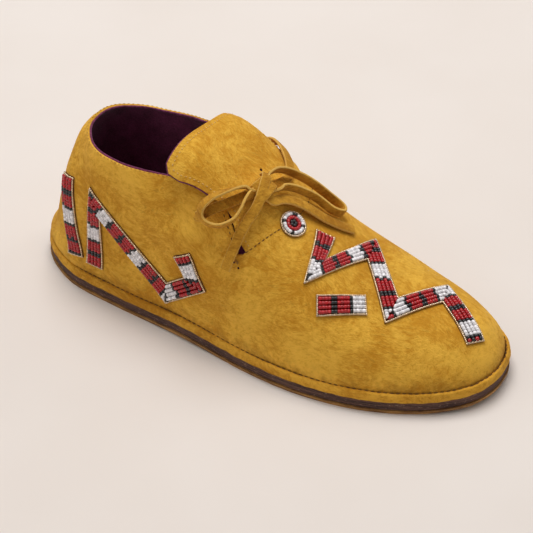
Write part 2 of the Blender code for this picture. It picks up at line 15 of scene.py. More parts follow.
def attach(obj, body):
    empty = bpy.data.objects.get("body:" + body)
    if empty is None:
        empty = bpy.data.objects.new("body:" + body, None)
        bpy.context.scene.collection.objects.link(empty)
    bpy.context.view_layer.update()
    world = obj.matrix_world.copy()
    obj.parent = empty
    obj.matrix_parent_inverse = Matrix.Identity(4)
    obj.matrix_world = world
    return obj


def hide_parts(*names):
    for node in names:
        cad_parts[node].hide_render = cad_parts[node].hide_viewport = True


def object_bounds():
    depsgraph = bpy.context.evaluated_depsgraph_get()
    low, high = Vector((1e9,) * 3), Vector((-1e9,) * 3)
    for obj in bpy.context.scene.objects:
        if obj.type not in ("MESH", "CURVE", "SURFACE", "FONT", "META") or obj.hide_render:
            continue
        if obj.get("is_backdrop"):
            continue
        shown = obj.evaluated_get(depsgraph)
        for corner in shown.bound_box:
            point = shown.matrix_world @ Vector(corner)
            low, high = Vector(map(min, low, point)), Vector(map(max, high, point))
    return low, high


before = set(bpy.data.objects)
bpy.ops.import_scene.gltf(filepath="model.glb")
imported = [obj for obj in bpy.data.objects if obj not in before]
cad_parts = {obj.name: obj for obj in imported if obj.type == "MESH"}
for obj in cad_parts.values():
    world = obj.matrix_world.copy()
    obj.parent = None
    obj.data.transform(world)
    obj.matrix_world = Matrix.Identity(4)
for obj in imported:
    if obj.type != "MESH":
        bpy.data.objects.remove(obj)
packed_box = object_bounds()

# The shoe stands on a plain pale floor in soft light from above. The camera is where the photo's
# camera stood, above the outer side of the toes, turned and zoomed to hold this one shoe.
FOCAL_PIXELS = 1511.0
FRAME_PIXELS = 533
SENSOR = 36.0
ZOOM = 1.3
CAMERA_AZIMUTH = math.radians(24.98)
CAMERA_ELEVATION = math.radians(36.84)
CAMERA_ROLL = math.radians(1.85)
CAMERA_ORBIT = Vector((-0.0357, 0.12936, 0.0))
CAMERA_DISTANCE = 1.1309
SHOE_MIDDLE = Vector((0.0015, -0.004, 0.034))
FLOOR_SIZE = 6.0


def axes(*ways):
    return Matrix(ways).transposed().to_4x4()


def added(name, data):
    made = bpy.data.objects.new(name, data)
    bpy.context.scene.collection.objects.link(made)
    return made


back = Vector((
    math.sin(CAMERA_AZIMUTH) * math.cos(CAMERA_ELEVATION),
    -math.cos(CAMERA_AZIMUTH) * math.cos(CAMERA_ELEVATION),
    math.sin(CAMERA_ELEVATION),
))
level = Vector((math.cos(CAMERA_AZIMUTH), math.sin(CAMERA_AZIMUTH), 0.0))
upright = back.cross(level) * math.cos(CAMERA_ROLL) - level * math.sin(CAMERA_ROLL)
eye = CAMERA_ORBIT + back * CAMERA_DISTANCE
back = (eye - SHOE_MIDDLE).normalized()
right = upright.cross(back).normalized()
camera = added("camera", bpy.data.cameras.new("camera"))
camera.data.lens = FOCAL_PIXELS / FRAME_PIXELS * SENSOR * ZOOM
camera.data.sensor_width = SENSOR
camera.matrix_world = Matrix.Translation(eye) @ axes(right, back.cross(right), back)
bpy.context.scene.camera = camera
bpy.context.scene.view_settings.view_transform = "Standard"


class Shade:
    """A socket of a material. Sums and products of it add Math nodes."""

    def __init__(self, tree, socket):
        self.tree = tree
        self.socket = socket

    def node(self, kind, settings, sockets, output=0):
        made = self.tree.nodes.new(kind)
        for name, value in settings.items():
            setattr(made, name, value)
        for name, value in sockets.items():
            if isinstance(value, Shade):
                self.tree.links.new(value.socket, made.inputs[name])
            else:
                made.inputs[name].default_value = value
        return Shade(self.tree, made.outputs[output])

    def worked(self, operation, first, second):
        return self.node("ShaderNodeMath", {"operation": operation}, {0: first, 1: second})

    def __add__(self, other):
        return self.worked("ADD", self, other)

    __radd__ = __add__

    def __sub__(self, other):
        return self.worked("SUBTRACT", self, other)

    def __rsub__(self, other):
        return self.worked("SUBTRACT", other, self)

    def __mul__(self, other):
        return self.worked("MULTIPLY", self, other)

    __rmul__ = __mul__

    def eased(self, low, high):
        """0 below low, 1 above high and smooth between them."""
        sockets = {"Value": self, "From Min": low, "From Max": high}
        return self.node("ShaderNodeMapRange", {"interpolation_type": "SMOOTHSTEP"}, sockets)

    def tinted(self, none, full):
        """The first colour where this is 0 and the second where it is 1."""
        colours = {0: self, 6: none, 7: full}
        return self.node("ShaderNodeMix", {"data_type": "RGBA"}, colours, 2)

    def clouds(self, scale, detail=2.0, roughness=0.5, distortion=0.0):
        sockets = {
            "Vector": self,
            "Scale": scale,
            "Detail": detail,
            "Roughness": roughness,
            "Distortion": distortion,
        }
        return self.node("ShaderNodeTexNoise", {}, sockets)

    def stretched(self, scale):
        return self.node("ShaderNodeMapping", {"vector_type": "POINT"}, {"Vector": self, "Scale": scale})

    def swirled(self, scale, reach):
        """The place bent by slow swirls, so that strokes turn from patch to patch."""
        bend = self.node("ShaderNodeTexNoise", {}, {"Vector": self, "Scale": scale, "Detail": 1.0}, 1)
        sockets = {0: bend, 1: (reach, reach, reach), 2: self}
        return self.node("ShaderNodeVectorMath", {"operation": "MULTIPLY_ADD"}, sockets)

    def height(self):
        return self.node("ShaderNodeSeparateXYZ", {}, {0: self}, 2)

    def kept(self, name):
        """A number that the mesh keeps at each of its points."""
        return self.node("ShaderNodeAttribute", {"attribute_name": name}, {}, 2)


def colour(red, green, blue):
    """A colour given by its 8-bit screen values, as the shader takes it."""
    shares = [value / 255 for value in (red, green, blue)]
    return (*[v / 12.92 if v < 0.04045 else ((v + 0.055) / 1.055) ** 2.4 for v in shares], 1.0)


def finish(name, base, roughness, height=None, relief=0.0, **others):
    """A material. Its colour and relief are functions of the place, the others such or values."""
    made = bpy.data.materials.new(name)
    made.use_nodes = True
    tree = made.node_tree
    shader = tree.nodes["Principled BSDF"]
    place = Shade(tree, tree.nodes.new("ShaderNodeTexCoord").outputs["Object"])
    feeds = {"Base Color": base, "Roughness": roughness, **others}
    for socket, value in feeds.items():
        taker = shader.inputs[socket.replace("_", " ")]
        if callable(value):
            tree.links.new(value(place).socket, taker)
        else:
            taker.default_value = value
    if height:
        sockets = {"Strength": 1.0, "Distance": relief, "Height": height(place)}
        bump = place.node("ShaderNodeBump", {}, sockets)
        tree.links.new(bump.socket, shader.inputs["Normal"])
    return made


def clouded(dark, light, scale, detail=3.0, roughness=0.5, ends=(0.3, 0.7)):
    """A base colour in soft clouds, between two colours given by their screen values."""

    def base(place):
        return place.clouds(scale, detail, roughness).eased(*ends).tinted(colour(*dark), colour(*light))

    return base


def piece(name, bm, materials, smooth_angle=None):
    """A finished bmesh as an object at the origin."""
    mesh = bpy.data.meshes.new(name)
    bm.to_mesh(mesh)
    bm.free()
    for material in materials:
        mesh.materials.append(material)
    mesh.shade_smooth()
    if smooth_angle:
        mesh.set_sharp_from_angle(angle=math.radians(smooth_angle))
    return added(name, mesh)


floor_bm = bmesh.new()
bmesh.ops.create_grid(floor_bm, x_segments=1, y_segments=1, size=FLOOR_SIZE / 2)
floor_colours = clouded((232, 222, 214), (236, 227, 220), 9.0, ends=(0.2, 0.8))
plain_floor = finish("pale_floor", floor_colours, 0.9)
piece("floor", floor_bm, [plain_floor])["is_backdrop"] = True

world = bpy.data.worlds.new("pale_room")
world.use_nodes = True
world.node_tree.nodes["Background"].inputs["Color"].default_value = (1.0, 0.97, 0.94, 1.0)
world.node_tree.nodes["Background"].inputs["Strength"].default_value = 0.33
bpy.context.scene.world = world
LAMPS = [
    # name, place, aim, width, watts
    ("softbox_above", (-0.25, 0.3, 1.55), (0.0, 0.0, 0.0), 0.9, 17.5),
    ("softbox_side", (-1.1, -1.1, 1.0), (0.0, 0.0, 0.03), 0.8, 2.4),
    ("softbox_behind", (0.9, 1.3, 1.0), (0.0, 0.0, 0.03), 0.8, 3.0),
]
for name, spot, aim, width, watts in LAMPS:
    lamp = added(name, bpy.data.lights.new(name, "AREA"))
    lamp.data.size = width
    lamp.data.energy = watts
    lamp.location = spot
    lamp.rotation_euler = (Vector(spot) - Vector(aim)).to_track_quat("Z", "Y").to_euler()

# The outsole is a thin sheet of tan leather, cut to the outline of the foot. It is glued under
# the midsole and its cut edge shows as a pale line above the floor.
SOLE_LENGTH = 0.262
BALL_WIDTH = 0.0973
OUTSOLE_THICKNESS = 0.0016
GAP = 0.0003
TOE_SPRING = 0.003
SPRING_START = 0.82
ARCH_LIFT = 0.001
ARCH_START = 0.27
ARCH_END = 0.53
TIP = 0.0012
SOLE_TABLE = [
    # share of the length, half widths as shares of the ball width: lateral, medial
    (0.0, 0.0, 0.0),
    (0.02, 0.146, 0.139),
    (0.06, 0.247, 0.233),
    (0.12, 0.331, 0.305),
    (0.22, 0.379, 0.327),
    (0.34, 0.421, 0.327),
    (0.46, 0.475, 0.349),
    (0.58, 0.527, 0.417),
    (0.68, 0.535, 0.462),
    (0.78, 0.495, 0.468),
    (0.87, 0.407, 0.418),
    (0.94, 0.292, 0.315),
    (0.98, 0.175, 0.213),
    (1.0, -0.027, 0.027),
]
OUTLINE_SHIFT = BALL_WIDTH * (max(row[1] for row in SOLE_TABLE) - max(row[2] for row in SOLE_TABLE)) / 2


def spread(share):
    """Angle of a station, which packs the stations where the outline turns round the ends."""
    return np.arccos(np.clip(1 - 2 * np.asarray(share, float), -1, 1))


def share_of(angle):
    return (1 - np.cos(angle)) / 2


def eased(t):
    t = np.clip(t, 0.0, 1.0)
    return t * t * (3 - 2 * t)


def through(table, index, angle):
    """Smooth values of one column of a table at the stations' angles."""
    keys = spread([row[0] for row in table])
    values = np.array([row[index] for row in table])
    steps = np.arange(len(keys))
    before, after = np.maximum(steps - 1, 0), np.minimum(steps + 1, len(keys) - 1)
    slopes = (values[after] - values[before]) / (keys[after] - keys[before])
    at = np.clip(np.searchsorted(keys, angle, side="right") - 1, 0, len(keys) - 2)
    span = keys[at + 1] - keys[at]
    t = (angle - keys[at]) / span
    return (
        (2 * t**3 - 3 * t**2 + 1) * values[at]
        + (t**3 - 2 * t**2 + t) * span * slopes[at]
        + (3 * t**2 - 2 * t**3) * values[at + 1]
        + (t**3 - t**2) * span * slopes[at + 1]
    )


def rise(x):
    """How far the sole lies above the ground: a toe spring, and a slight arch at the waist."""
    share = x / SOLE_LENGTH + 0.5
    spring = TOE_SPRING * np.maximum(0.0, (share - SPRING_START) / (1 - SPRING_START)) ** 2
    middle = np.clip((share - ARCH_START) / (ARCH_END - ARCH_START), 0.0, 1.0)
    return spring + ARCH_LIFT * np.sin(math.pi * middle) ** 2


def unit(rows):
    return rows / np.linalg.norm(rows, axis=-1, keepdims=True)


def outline(angle, side, inset):
    """Points (x, y) of the sole's outline, moved inward; side is -1 on the outer side of the foot."""
    side = np.broadcast_to(side, np.shape(angle))

    def raw(a):
        half = np.where(side < 0, through(SOLE_TABLE, 1, a), through(SOLE_TABLE, 2, a)) * BALL_WIDTH
        return np.stack([-SOLE_LENGTH / 2 * np.cos(a), side * half + OUTLINE_SHIFT], -1)

    step = 0.004
    along = unit(raw(np.minimum(math.pi, angle + step)) - raw(np.maximum(0.0, angle - step)))
    inward = np.stack([-along[..., 1], along[..., 0]], -1) * -side[..., None]
    return raw(angle) + inward * np.asarray(inset)[..., None]


def laid(bm, across, along, place):
    """A grid of faces, with its points put where place(u, v) says, u and v going from 0 to 1."""
    verts = bmesh.ops.create_grid(bm, x_segments=across, y_segments=along, size=0.5)["verts"]
    parts = np.array([vert.co[:2] for vert in verts]) + 0.5
    for vert, point in zip(verts, place(parts[:, 0], parts[:, 1])):
        vert.co = point
    return verts


def places(verts):
    return np.array([vert.co for vert in verts])


def merged(bm, reach=2e-6):
    bmesh.ops.remove_doubles(bm, verts=bm.verts[:], dist=reach)


def ragged(points, size, scale):
    """Small uneven shifts of points, the same each time."""
    mixed = np.array([[1.0, 0.31, 0.17], [-0.42, 1.0, 0.23], [0.19, -0.37, 1.0]])
    first, second, third = (points @ mixed * scale).T
    return size * (np.sin(first) * np.sin(1.7 * second + 1.0) + 0.6 * np.sin(2.9 * third + first)) / 1.6


def outward(bm):
    bmesh.ops.recalc_face_normals(bm, faces=bm.faces[:])


def sole_layer(name, inset, bottom, thickness, roughness, materials):
    """A sole layer drawn up from its outline, with a finely uneven cut edge."""
    first = float(spread(TIP))
    bm = bmesh.new()

    def flat(u, v):
        angle = first + (math.pi - 2 * first) * u
        low, high = outline(angle, -1, inset), outline(angle, 1, inset)
        xy = low + (high - low) * v[:, None]
        return np.column_stack([xy, bottom + rise(xy[:, 0])])

    laid(bm, 150, 8, flat)
    drawn = bmesh.ops.extrude_face_region(bm, geom=bm.faces[:], use_keep_orig=True)
    top = [part for part in drawn["geom"] if isinstance(part, bmesh.types.BMVert)]
    bmesh.ops.translate(bm, verts=top, vec=(0, 0, thickness))
    outward(bm)
    walls = [face for face in bm.faces if abs(face.normal.z) < 0.5]
    edges = {edge for face in walls for edge in face.edges}
    uprights = [edge for edge in edges if abs((edge.verts[0].co - edge.verts[1].co).z) > 0.6 * thickness]
    bmesh.ops.subdivide_edges(bm, edges=uprights, cuts=3, use_grid_fill=True)
    rims = [vert for vert in bm.verts if any(abs(face.normal.z) < 0.5 for face in vert.link_faces)]
    for vert, shift in zip(rims, ragged(places(rims), roughness, 900.0)):
        inward = -Vector((vert.co.x * 0.25, vert.co.y, 0)).normalized()
        vert.co += inward * abs(shift)
    return piece(name, bm, materials, 40)


tan = clouded((112, 74, 40), (186, 136, 74), 1.0, 4.0, 0.65)
tan_leather = finish(
    "tan_leather",
    lambda place: tan(place.stretched((90, 90, 900))),
    0.8,
    lambda place: place.clouds(900.0, 3.0),
    0.0002,
)
outsole = sole_layer("tan_outsole", 0.0, 0.0, OUTSOLE_THICKNESS, 0.00015, [tan_leather])
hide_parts("outsole")
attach(outsole, "root")

# The midsole is a brown slab of layered leather. It is glued between the outsole and the band,
# and its buffed edge is darker, with scuffs and loose fibres.
MIDSOLE_THICKNESS = 0.0046
MIDSOLE_INSET = 0.0006
MIDSOLE_BOTTOM = OUTSOLE_THICKNESS + GAP
MIDSOLE_TOP = MIDSOLE_BOTTOM + MIDSOLE_THICKNESS


def layered(place):
    """Layers along the edge, in dark browns with paler scuffs and loose fibres."""
    layers = place.stretched((55, 55, 1900)).clouds(1.0, 4.0, 0.65).eased(0.32, 0.68)
    scuffs = place.stretched((420, 420, 1300)).clouds(1.0, 3.0, 0.6).eased(0.6, 0.7) * 0.75
    brown = layers.tinted(colour(58, 36, 32), colour(116, 82, 68))
    return scuffs.tinted(brown, colour(168, 138, 118))


brown_leather = finish(
    "brown_leather",
    layered,
    0.75,
    lambda place: place.stretched((300, 300, 2500)).clouds(1.0, 3.0) + place.clouds(900.0, 3.0) * 0.8,
    0.0007,
)
midsole = sole_layer(
    "brown_midsole", MIDSOLE_INSET, MIDSOLE_BOTTOM, MIDSOLE_THICKNESS, 0.00045, [brown_leather]
)
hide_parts("midsole")
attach(midsole, "root")

# The insole is a thin leather board covered in the plum lining cloth. It lies loose in the shoe, on
# the midsole and inside the upper's lower edge.
INSOLE_THICKNESS = 0.002
UPPER_WALL = 0.0022
BAND_THICKNESS = 0.0025
UPPER_BASE = MIDSOLE_TOP + GAP
UPPER_INSET = BAND_THICKNESS + 1.5 * GAP
INSOLE_INSET = UPPER_INSET + UPPER_WALL + 1.5 * GAP


def plum_nap(place):
    patches = place.clouds(90.0, 3.0) * 0.6 + place.clouds(1500.0, 2.0) * 0.4
    return patches.eased(0.3, 0.7).tinted(colour(84, 24, 52), colour(132, 52, 92))


plum_cloth = finish(
    "plum_cloth",
    plum_nap,
    0.95,
    lambda place: place.clouds(1800.0, 2.0),
    0.0003,
    Sheen_Weight=0.2,
    Sheen_Roughness=0.5,
    Specular_IOR_Level=0.1,
)
insole = sole_layer("plum_insole", INSOLE_INSET, UPPER_BASE, INSOLE_THICKNESS, 0.0001, [plum_cloth])
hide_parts("insole")
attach(insole, "root")

# The upper is ochre suede, cut in quarters and vamp and sewn to the sole, with the plum lining
# turned in at the collar. Its nap is brushed in patches, and it has soft creases from wear.
COLLAR_HEIGHT = 0.0885
COLLAR_BACK = 0.104
SLIT = 0.496
SLIT_LEAN = 0.043
THROAT = 0.564
THROAT_CURVE = 0.68
UPPER_TUCK = 0.001
LACE_SLOT = 0.417
SLIT_FOOT = 0.695
SLOT_LEVEL = 0.848
SLOT_HEIGHT = 0.0062
SLOT_WIDTH = 0.0022
EDGE_ROUNDING = 0.0005
SIDE_COLUMNS, SIDE_ROWS = 80, 52
VAMP_COLUMNS, VAMP_ROWS = 128, 84
HEEL_COLUMNS = 0.4
DENT_DEPTH = 0.0003
SWELL = 0.0009
SWELL_AT_HEEL = 0.0017
SWELL_LEVEL = 0.0095
SWELL_REACH = 0.006
UPPER_TABLE = [
    # share, crown, squareness, lean
    (0.0, 0.0, 2.2, 0.0),
    (0.013, 0.17, 2.3, 0.0),
    (0.028, 0.35, 2.4, 0.004),
    (0.048, 0.57, 2.5, 0.008),
    (0.07, 0.8, 2.6, 0.013),
    (0.088, 0.945, 2.7, 0.019),
    (0.104, 1.0, 2.7, 0.025),
    (0.14, 1.12, 3.2, 0.03),
    (0.19, 1.2, 4.2, 0.045),
    (0.27, 1.213, 4.8, 0.058),
    (0.345, 1.14, 4.6, 0.062),
    (0.385, 1.11, 4.3, 0.07),
    (0.425, 1.045, 4.0, 0.073),
    (0.465, 0.96, 3.7, 0.073),
    (0.5, 0.89, 3.4, 0.07),
    (0.54, 0.82, 3.1, 0.066),
    (0.61, 0.69, 2.7, 0.06),
    (0.68, 0.57, 2.5, 0.052),
    (0.74, 0.485, 2.4, 0.042),
    (0.8, 0.42, 2.3, 0.032),
    (0.86, 0.367, 2.3, 0.024),
    (0.91, 0.325, 2.2, 0.016),
    (0.95, 0.264, 2.2, 0.008),
    (0.98, 0.167, 2.2, 0.003),
    (1.0, 0.0, 2.2, 0.0),
]
COLLAR_TABLE = [
    # share, lateral, medial
    (0.104, 1.0, 1.0),
    (0.14, 0.985, 0.97),
    (0.22, 0.98, 0.945),
    (0.3, 0.995, 0.965),
    (0.345, 1.0, 0.985),
    (0.4, 0.975, 0.97),
    (0.45, 0.93, 0.93),
    (0.496, 0.868, 0.868),
]
CREASES = [
    # from (share, turn / pi), to (share, turn / pi), width, depth; a ridge has a depth below 0
    ((0.175, 0.3), (0.395, 0.205), 0.009, 0.0016),
    ((0.215, 0.225), (0.43, 0.15), 0.012, -0.0014),
    ((0.118, 0.33), (0.14, 0.15), 0.006, 0.001),
    ((0.08, 0.26), (0.11, 0.1), 0.009, -0.0007),
    ((0.425, 0.24), (0.35, 0.185), 0.0052, 0.0011),
    ((0.418, 0.205), (0.34, 0.155), 0.006, -0.001),
    ((0.447, 0.215), (0.395, 0.125), 0.005, 0.0011),
    ((0.483, 0.19), (0.474, 0.09), 0.0038, 0.0009),
    ((0.495, 0.17), (0.487, 0.085), 0.0042, -0.0006),
    ((0.512, 0.18), (0.58, 0.105), 0.008, 0.0009),
    ((0.56, 0.25), (0.65, 0.16), 0.011, 0.0008),
    ((0.64, 0.15), (0.79, 0.14), 0.013, -0.001),
    ((0.7, 0.23), (0.87, 0.26), 0.012, -0.0008),
    ((0.6, 0.33), (0.56, 0.37), 0.006, 0.0005),
]
for row in (0, 1, 7, 9, 11):
    (share, turn), (share_end, turn_end), width, depth = CREASES[row]
    CREASES.append(((share, 1 - turn), (share_end, 1 - turn_end), width, depth))


def rib(angle, turn, lift=0.0):
    """Points of the upper's outer face. turn goes from 0 at the outer side of the foot to pi."""
    angle, turn, lift = np.broadcast_arrays(np.asarray(angle, float), turn, lift)
    if np.any(lift != 0):
        return rib(angle, turn) + facing(angle, turn) * lift[..., None]
    lateral, medial = outline(angle, -1, UPPER_INSET), outline(angle, 1, UPPER_INSET)
    square = through(UPPER_TABLE, 2, angle)
    across, up = np.cos(turn), np.sin(turn)
    reach = (np.abs(across) ** square + np.abs(up) ** square) ** (-1 / square)
    lean = through(UPPER_TABLE, 3, angle) * BALL_WIDTH
    tucked = 1 - 2 * UPPER_TUCK * up * reach / np.linalg.norm(medial - lateral, axis=-1)
    xy = (lateral + medial) / 2 - (medial - lateral) / 2 * (across * reach * tucked)[..., None]
    y = xy[..., 1] + lean * (up * reach) ** 2
    z = UPPER_BASE + crown_of(angle) * up * reach + rise(xy[..., 0])
    return np.stack([xy[..., 0], y, z], -1)


def crown_of(angle):
    """Height of the upper's crown above its base."""
    return through(UPPER_TABLE, 1, angle) * (COLLAR_HEIGHT - UPPER_BASE)


def facing(angle, turn):
    """Outward direction of the upper's outer face."""
    step = 0.01
    low, high = np.maximum(0.03, angle - step), np.minimum(math.pi - 0.03, angle + step)
    along = rib(high, turn) - rib(low, turn)
    around = rib(angle, turn + step) - rib(angle, turn - step)
    return unit(np.cross(along, around))


def turn_of_level(angle, share_of_crown):
    """Turn at which a rib's outer half reaches a share of its crown."""
    square = through(UPPER_TABLE, 2, angle)
    share_of_crown = np.clip(share_of_crown, 0.0, 1.0)
    return np.arctan2(share_of_crown, (1 - share_of_crown**square) ** (1 / square))


def turn_at(angle, height):
    """Turn at which a rib's outer half reaches a height above the ground."""
    return turn_of_level(angle, (height - UPPER_BASE) / crown_of(angle))


def collar_turn(angle, side):
    """Turn of the collar's edge, which is the crown itself behind the collar."""
    edge = turn_at(angle, through(COLLAR_TABLE, 1 if side < 0 else 2, angle) * COLLAR_HEIGHT)
    return np.where(angle <= spread(COLLAR_BACK), math.pi / 2, edge)


SLIT_TURN = float(turn_at(spread(SLIT), SLIT_FOOT * COLLAR_HEIGHT))
SIDE_FOOT = float(SLIT_TURN / collar_turn(spread(SLIT), -1))
ROWS_BELOW_SLIT = 8 / 13


def throat(q):
    """Station angle and turn of the throat's edge; q goes from the outer slit's foot to the inner's."""
    share = SLIT + (THROAT - SLIT) * np.sin(math.pi * q) ** THROAT_CURVE
    return spread(share), SLIT_TURN + (math.pi - 2 * SLIT_TURN) * q


def side_row(v):
    """A row's share of the turn up to the collar, and how far its front end leans back."""
    over = np.maximum(0.0, (v - ROWS_BELOW_SLIT) / (1 - ROWS_BELOW_SLIT))
    share = np.where(over > 0, SIDE_FOOT + (1 - SIDE_FOOT) * over, SIDE_FOOT * v / ROWS_BELOW_SLIT)
    return share, eased(over)


def side_place(side):
    def place(u, v):
        share, lean = side_row(v)
        first, back_angle = spread(TIP), spread(COLLAR_BACK)
        front = spread(SLIT - SLIT_LEAN * lean)
        behind = first + (back_angle - first) * u / HEEL_COLUMNS
        past = np.maximum(0.0, (u - HEEL_COLUMNS) / (1 - HEEL_COLUMNS))
        ahead = back_angle + (front - back_angle) * past**1.6
        angle = np.where(u <= HEEL_COLUMNS + 1e-9, behind, ahead)
        turn = collar_turn(angle, side) * share
        return rib(angle, turn if side < 0 else math.pi - turn)

    return place


def vamp_place(u, v):
    """The vamp's points: v runs from the slits and the throat to the toe, u across."""
    low = 0.25
    slit = spread(SLIT)
    below = SLIT_TURN * np.minimum(u, 1 - u) / low
    q = np.clip((u - low) / (1 - 2 * low), 0.0, 1.0)
    throat_angle, throat_turn = throat(q)
    beside = (u < low - 1e-9) | (u > 1 - low + 1e-9)
    start = np.where(beside, slit, throat_angle)
    turn = np.where(beside, np.where(u < 0.5, below, math.pi - below), throat_turn)
    blend = eased(2 * v)
    return rib(start + (spread(1 - TIP) - start) * v, turn * (1 - blend) + math.pi * u * blend)


def end_cap(bm, angle, turns):
    """The flat end between the two halves of the first or last rib."""

    def place(u, v):
        turn = np.interp(u, np.linspace(0, 1, len(turns)), turns)
        low, high = rib(angle, turn), rib(angle, math.pi - turn)
        return low + (high - low) * v[:, None]

    laid(bm, len(turns) - 1, 1, place)


def roughened(bm, size, scale):
    """The same small dents put on a mesh along its normals."""
    for vert, shift in zip(bm.verts, ragged(places(bm.verts), size, scale)):
        vert.co += vert.normal * float(shift)


def creased(points, normals):
    """Points moved in along troughs and out along ridges, with slight dents and a swell at the foot."""
    moved = points + normals * ragged(points, DENT_DEPTH, 75.0)[:, None]
    above = points[:, 2] - UPPER_BASE - rise(points[:, 0])
    heel = eased((-0.08 - points[:, 0]) / 0.04)
    swell = (SWELL + SWELL_AT_HEEL * heel) * np.exp(-(((above - SWELL_LEVEL) / SWELL_REACH) ** 2))
    moved += normals * swell[:, None]
    for start, end, width, depth in CREASES:
        steps = np.linspace(0, 1, 13)[:, None]
        path = np.array(start) + (np.array(end) - np.array(start)) * steps
        line = rib(spread(path[:, 0]), path[:, 1] * math.pi)
        apart = np.linalg.norm(points[:, None] - line[None], axis=2)
        fade = np.sin(math.pi * (0.12 + 0.76 * steps[:, 0])) ** 0.8
        moved -= normals * (depth * np.max(np.exp(-((apart / width) ** 2)) * fade, axis=1))[:, None]
    return moved


def outer_face_mesh():
    """The upper's outer face: heel, two sides up to the collar, and vamp."""
    bm = bmesh.new()
    for side in (-1, 1):
        laid(bm, SIDE_COLUMNS, SIDE_ROWS, side_place(side))
    laid(bm, VAMP_COLUMNS, VAMP_ROWS, vamp_place)
    rows = side_row(np.linspace(0, 1, SIDE_ROWS + 1))[0]
    end_cap(bm, spread(TIP), rows * math.pi / 2)
    end_cap(bm, spread(1 - TIP), np.linspace(0, math.pi / 2, VAMP_COLUMNS // 2 + 1))
    merged(bm)
    outward(bm)
    if sum(face.normal.dot(face.calc_center_median() - Vector((0, 0, 0.03))) for face in bm.faces) < 0:
        bmesh.ops.reverse_faces(bm, faces=bm.faces[:])
    bm.normal_update()
    normals = np.array([vert.normal for vert in bm.verts])
    for vert, point in zip(bm.verts, creased(places(bm.verts), normals)):
        vert.co = point
    return bm


def brushed(place):
    """Places bent by the sweep of the nap, and its short strokes, fine fibres and flecks at them."""
    bent = place.swirled(24.0, 0.03)
    strokes = bent.stretched((210, 640, 520)).clouds(1.0, 3.0, 0.6, 0.4)
    fibres = bent.stretched((800, 2200, 1900)).clouds(1.0, 2.0, 0.6)
    flecks = bent.stretched((300, 520, 480)).clouds(1.0, 4.0, 0.65, 0.6)
    return bent, strokes, fibres, flecks


def suede(name, light, dark, relief=0.0004, changed=None):
    """Brushed suede: patches where the nap lies another way, short strokes and worn fibres."""

    def base(place):
        bent, strokes, fibres, flecks = brushed(place)
        patches = place.clouds(27.0, 3.0, 0.5, 0.8)
        blotches = bent.clouds(120.0, 3.0, 0.6, 0.8)
        nap = patches + blotches * 0.5 + flecks * 0.75 + strokes * 0.45 + fibres * 0.4
        tone = nap.eased(1.28, 1.84).tinted(dark, light)
        marks = strokes.eased(0.56, 0.68) * patches.eased(0.6, 0.42) * 0.35
        tone = marks.tinted(tone, tuple(part * 0.55 for part in dark[:3]) + (1.0,))
        return changed(place, tone) if changed else tone

    def height(place):
        _, strokes, fibres, flecks = brushed(place)
        return fibres + strokes * 0.9 + flecks * 1.2

    return finish(
        name,
        base,
        0.95,
        height,
        relief,
        Sheen_Weight=0.12,
        Sheen_Roughness=0.5,
        Sheen_Tint=(1.0, 0.78, 0.4, 1.0),
        Specular_IOR_Level=0.1,
    )


def darkened_low(place, tone):
    """The upper, darker in soft patches towards its foot."""
    foot = (1 - place.height().eased(0.012, 0.024)) * place.clouds(160.0, 3.0, 0.6).eased(0.35, 0.65)
    return (foot * 0.45).tinted(tone, colour(140, 92, 26))


ochre_suede = suede("ochre_suede", colour(242, 188, 72), colour(202, 140, 37), changed=darkened_low)


def modified(made, name, kind, **settings):
    added = made.modifiers.new(name, kind)
    for setting, value in settings.items():
        setattr(added, setting, value)


def lined(made, wall, segments, sharpest):
    """The wall of a suede piece with the lining on its inner side, and its rounded edges."""
    modified(made, "wall", "SOLIDIFY", thickness=wall, offset=-1, material_offset=1, material_offset_rim=0)
    modified(made, "rim", "BEVEL", width=EDGE_ROUNDING, segments=segments, limit_method="ANGLE")
    made.modifiers["rim"].angle_limit = math.radians(sharpest)


NEEDLE_HOLES = [
    # share, turn / pi, radius
    (0.4925, 0.206, 0.0006),
    (0.5035, 0.203, 0.0006),
]


def bored(bm, verts, size, angle, turn, lift=0.0):
    """Sets a cutting shape through the wall at a place."""
    out = Vector(facing(angle, turn))
    turned = (out if out.y > 0 else -out).to_track_quat("Y", "Z").to_matrix().to_4x4()
    bmesh.ops.scale(bm, vec=size, verts=verts)
    middle = Vector(rib(angle, turn)) + out * lift
    bmesh.ops.transform(bm, matrix=Matrix.Translation(middle) @ turned, verts=verts)


def needle_hole(bm, angle, turn, radius, lift=0.0):
    round_bar = {"segments": 12, "radius1": 0.5, "radius2": 0.5, "depth": 1.0}
    verts = bmesh.ops.create_cone(bm, cap_ends=True, **round_bar)["verts"]
    bmesh.ops.rotate(bm, verts=verts, cent=(0, 0, 0), matrix=Matrix.Rotation(math.pi / 2, 3, "X"))
    bored(bm, verts, (2 * radius, 4 * UPPER_WALL, 2 * radius), angle, turn, lift)


def cut_by(made, cutter_bm):
    """The object's mesh with its modifiers worked in, less the cutting shapes."""
    cutter = piece("cutter", cutter_bm, [plum_cloth])
    modified(made, "holes", "BOOLEAN", operation="DIFFERENCE", object=cutter)
    mesh = bpy.data.meshes.new_from_object(made.evaluated_get(bpy.context.evaluated_depsgraph_get()))
    made.modifiers.clear()
    made.data = mesh
    mesh.shade_smooth()
    mesh.set_sharp_from_angle(angle=math.radians(60))
    bpy.data.objects.remove(cutter)


